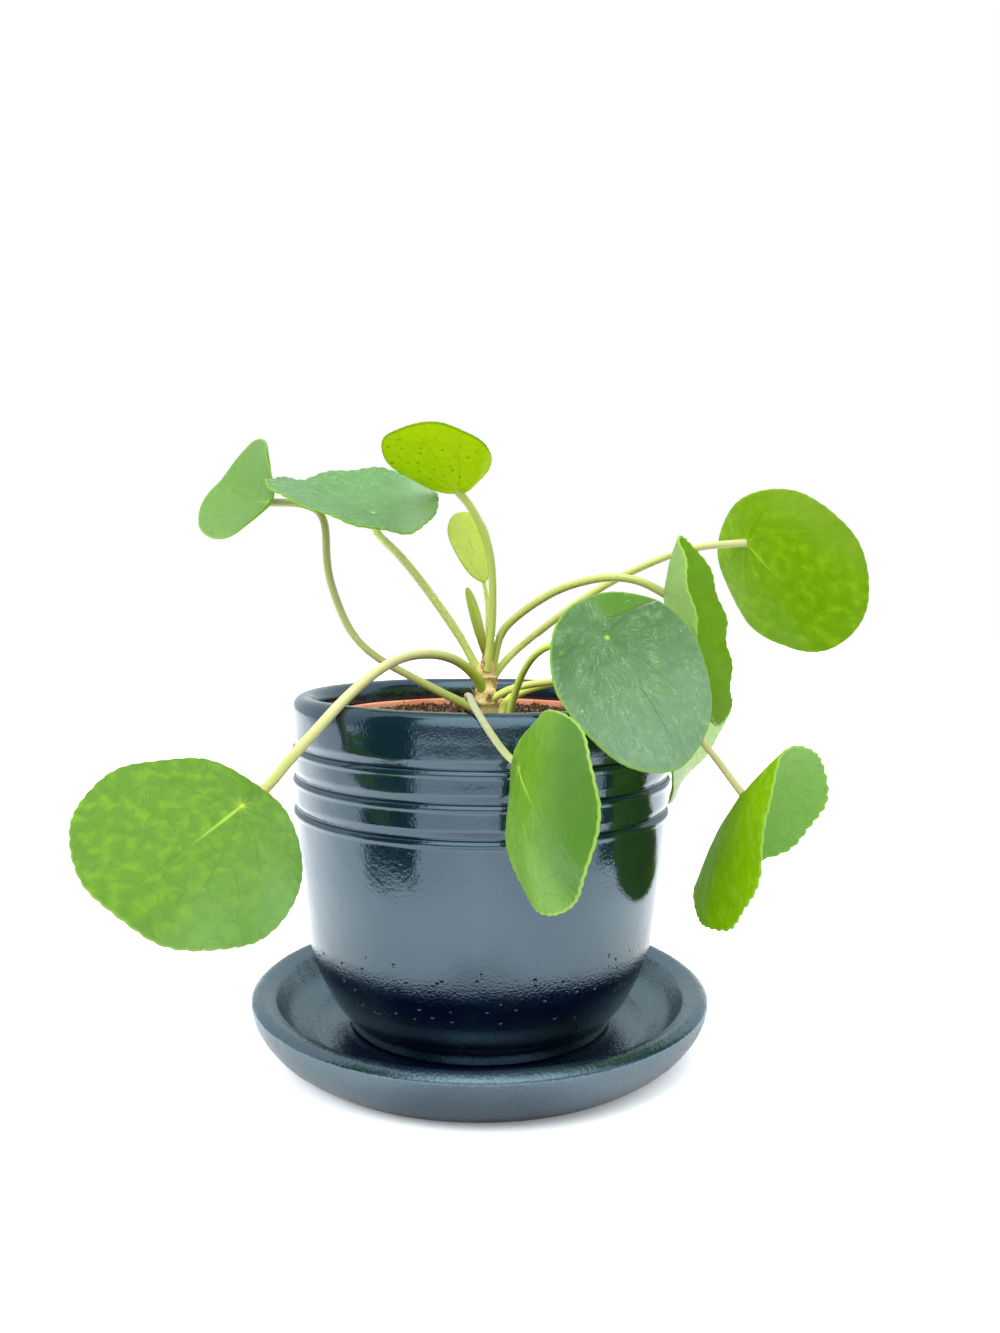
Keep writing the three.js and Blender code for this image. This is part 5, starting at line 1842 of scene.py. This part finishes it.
# %% Boards
BOARD_GREEN = (0.03, 0.11, 0.055, 1)
BOARD_DISTANCE = 190
BOARD_TOP = 330
# Start and end of each board as a compass angle, and the height of its foot
BOARDS = {"left_board": (208, 238, 15), "right_board": (-28, 8, 22)}


def dark_board():
    material, tree, shader = new_material("dark_board")
    fill(tree, shader, {"Base Color": BOARD_GREEN, "Roughness": 0.9, "Specular IOR Level": 0.1})
    return material


board = dark_board()
for title, (start, end, foot) in BOARDS.items():
    x0, x1 = (BOARD_DISTANCE * math.cos(math.radians(angle)) for angle in (start, end))
    y0, y1 = (BOARD_DISTANCE * math.sin(math.radians(angle)) for angle in (start, end))
    card = stage_plane(title, [(x0, y0, foot), (x1, y1, foot), (x1, y1, BOARD_TOP), (x0, y0, BOARD_TOP)],
                       board, seen=False)
    card.visible_shadow = False
    card.visible_diffuse = False
print("boards:", *BOARDS)


# %% [markdown]
# ## Sky and lamp
#
# The plant stands in bright, soft daylight. The sky is bright above and behind and dim low in
# front. A glossy surface sees a softer sky than the leaves are lit by, with one bright patch high
# in front. One large area light from the front left adds the soft side light, and is left out of
# reflections.

# %% Sky and lamp
SKY_POWER = 2.5
SKY_RISE = 0.9
SKY_LOW, SKY_HIGH, MIRROR_HIGH = -0.75, 0.25, 0.5
ROOM_SHARE = 0.22
MIRROR_SKY = (0.84, 0.97, 1.0, 1.0)
MIRROR_SHARE = 0.4
MIRROR_PATCH = 1.9
PATCH_WAY = (0.0, -0.62, 0.78)
PATCH_EDGE = (0.7, 0.95)


def add_sky():
    """White to the camera, bright above and behind for light, and softer and bluer to a shine,
    with a bright patch high in front that the ledges of the grooves catch."""
    world = bpy.data.worlds.new("soft_sky")
    bpy.context.scene.world = world
    world.use_nodes = True
    tree = world.node_tree
    tree.nodes.clear()
    look = node(tree, "ShaderNodeTexCoord").outputs["Generated"]
    way = split(tree, look)
    tilt = maths(tree, "MULTIPLY_ADD", way["Z"], SKY_RISE, way["Y"])
    power = remap(tree, tilt, SKY_LOW, SKY_HIGH, SKY_POWER * ROOM_SHARE, SKY_POWER)
    dim = remap(tree, tilt, SKY_LOW, MIRROR_HIGH, SKY_POWER * ROOM_SHARE, SKY_POWER * MIRROR_SHARE)
    patch = remap(tree, dot(tree, look, PATCH_WAY), *PATCH_EDGE, 0.0, MIRROR_PATCH)

    def glow(shade, strength):
        return node(tree, "ShaderNodeBackground", {"Color": shade, "Strength": strength}).outputs[0]

    def seen_by(ray, first, second):
        rays = node(tree, "ShaderNodeLightPath").outputs
        return node(tree, "ShaderNodeMixShader", {0: rays[ray], 1: first, 2: second}).outputs[0]

    mirrored = glow(MIRROR_SKY, maths(tree, "ADD", dim, patch))
    unseen = seen_by("Is Glossy Ray", glow(WHITE, power), mirrored)
    node(tree, "ShaderNodeOutputWorld",
         {"Surface": seen_by("Is Camera Ray", unseen, glow(WHITE, 1.0))})


def soft_light(name, place, target, size, watts, shade):
    """A square area light at a place in metres that shines towards its target."""
    data = bpy.data.lights.new(name, "AREA")
    data.shape, data.size, data.size_y = "RECTANGLE", size, size
    data.energy, data.color = watts, shade
    lamp = bpy.data.objects.new(name, data)
    lamp.location = place
    lamp.rotation_euler = (Vector(target) - Vector(place)).to_track_quat("-Z", "Y").to_euler()
    lamp.visible_glossy = False
    bpy.context.scene.collection.objects.link(lamp)


add_sky()
soft_light("soft_daylight", place=(-0.55, -0.75, 0.9), target=(0, 0, 0.1), size=0.7, watts=13.0,
           shade=(0.95, 0.98, 1.0))
bpy.context.scene.view_settings.view_transform = "Standard"
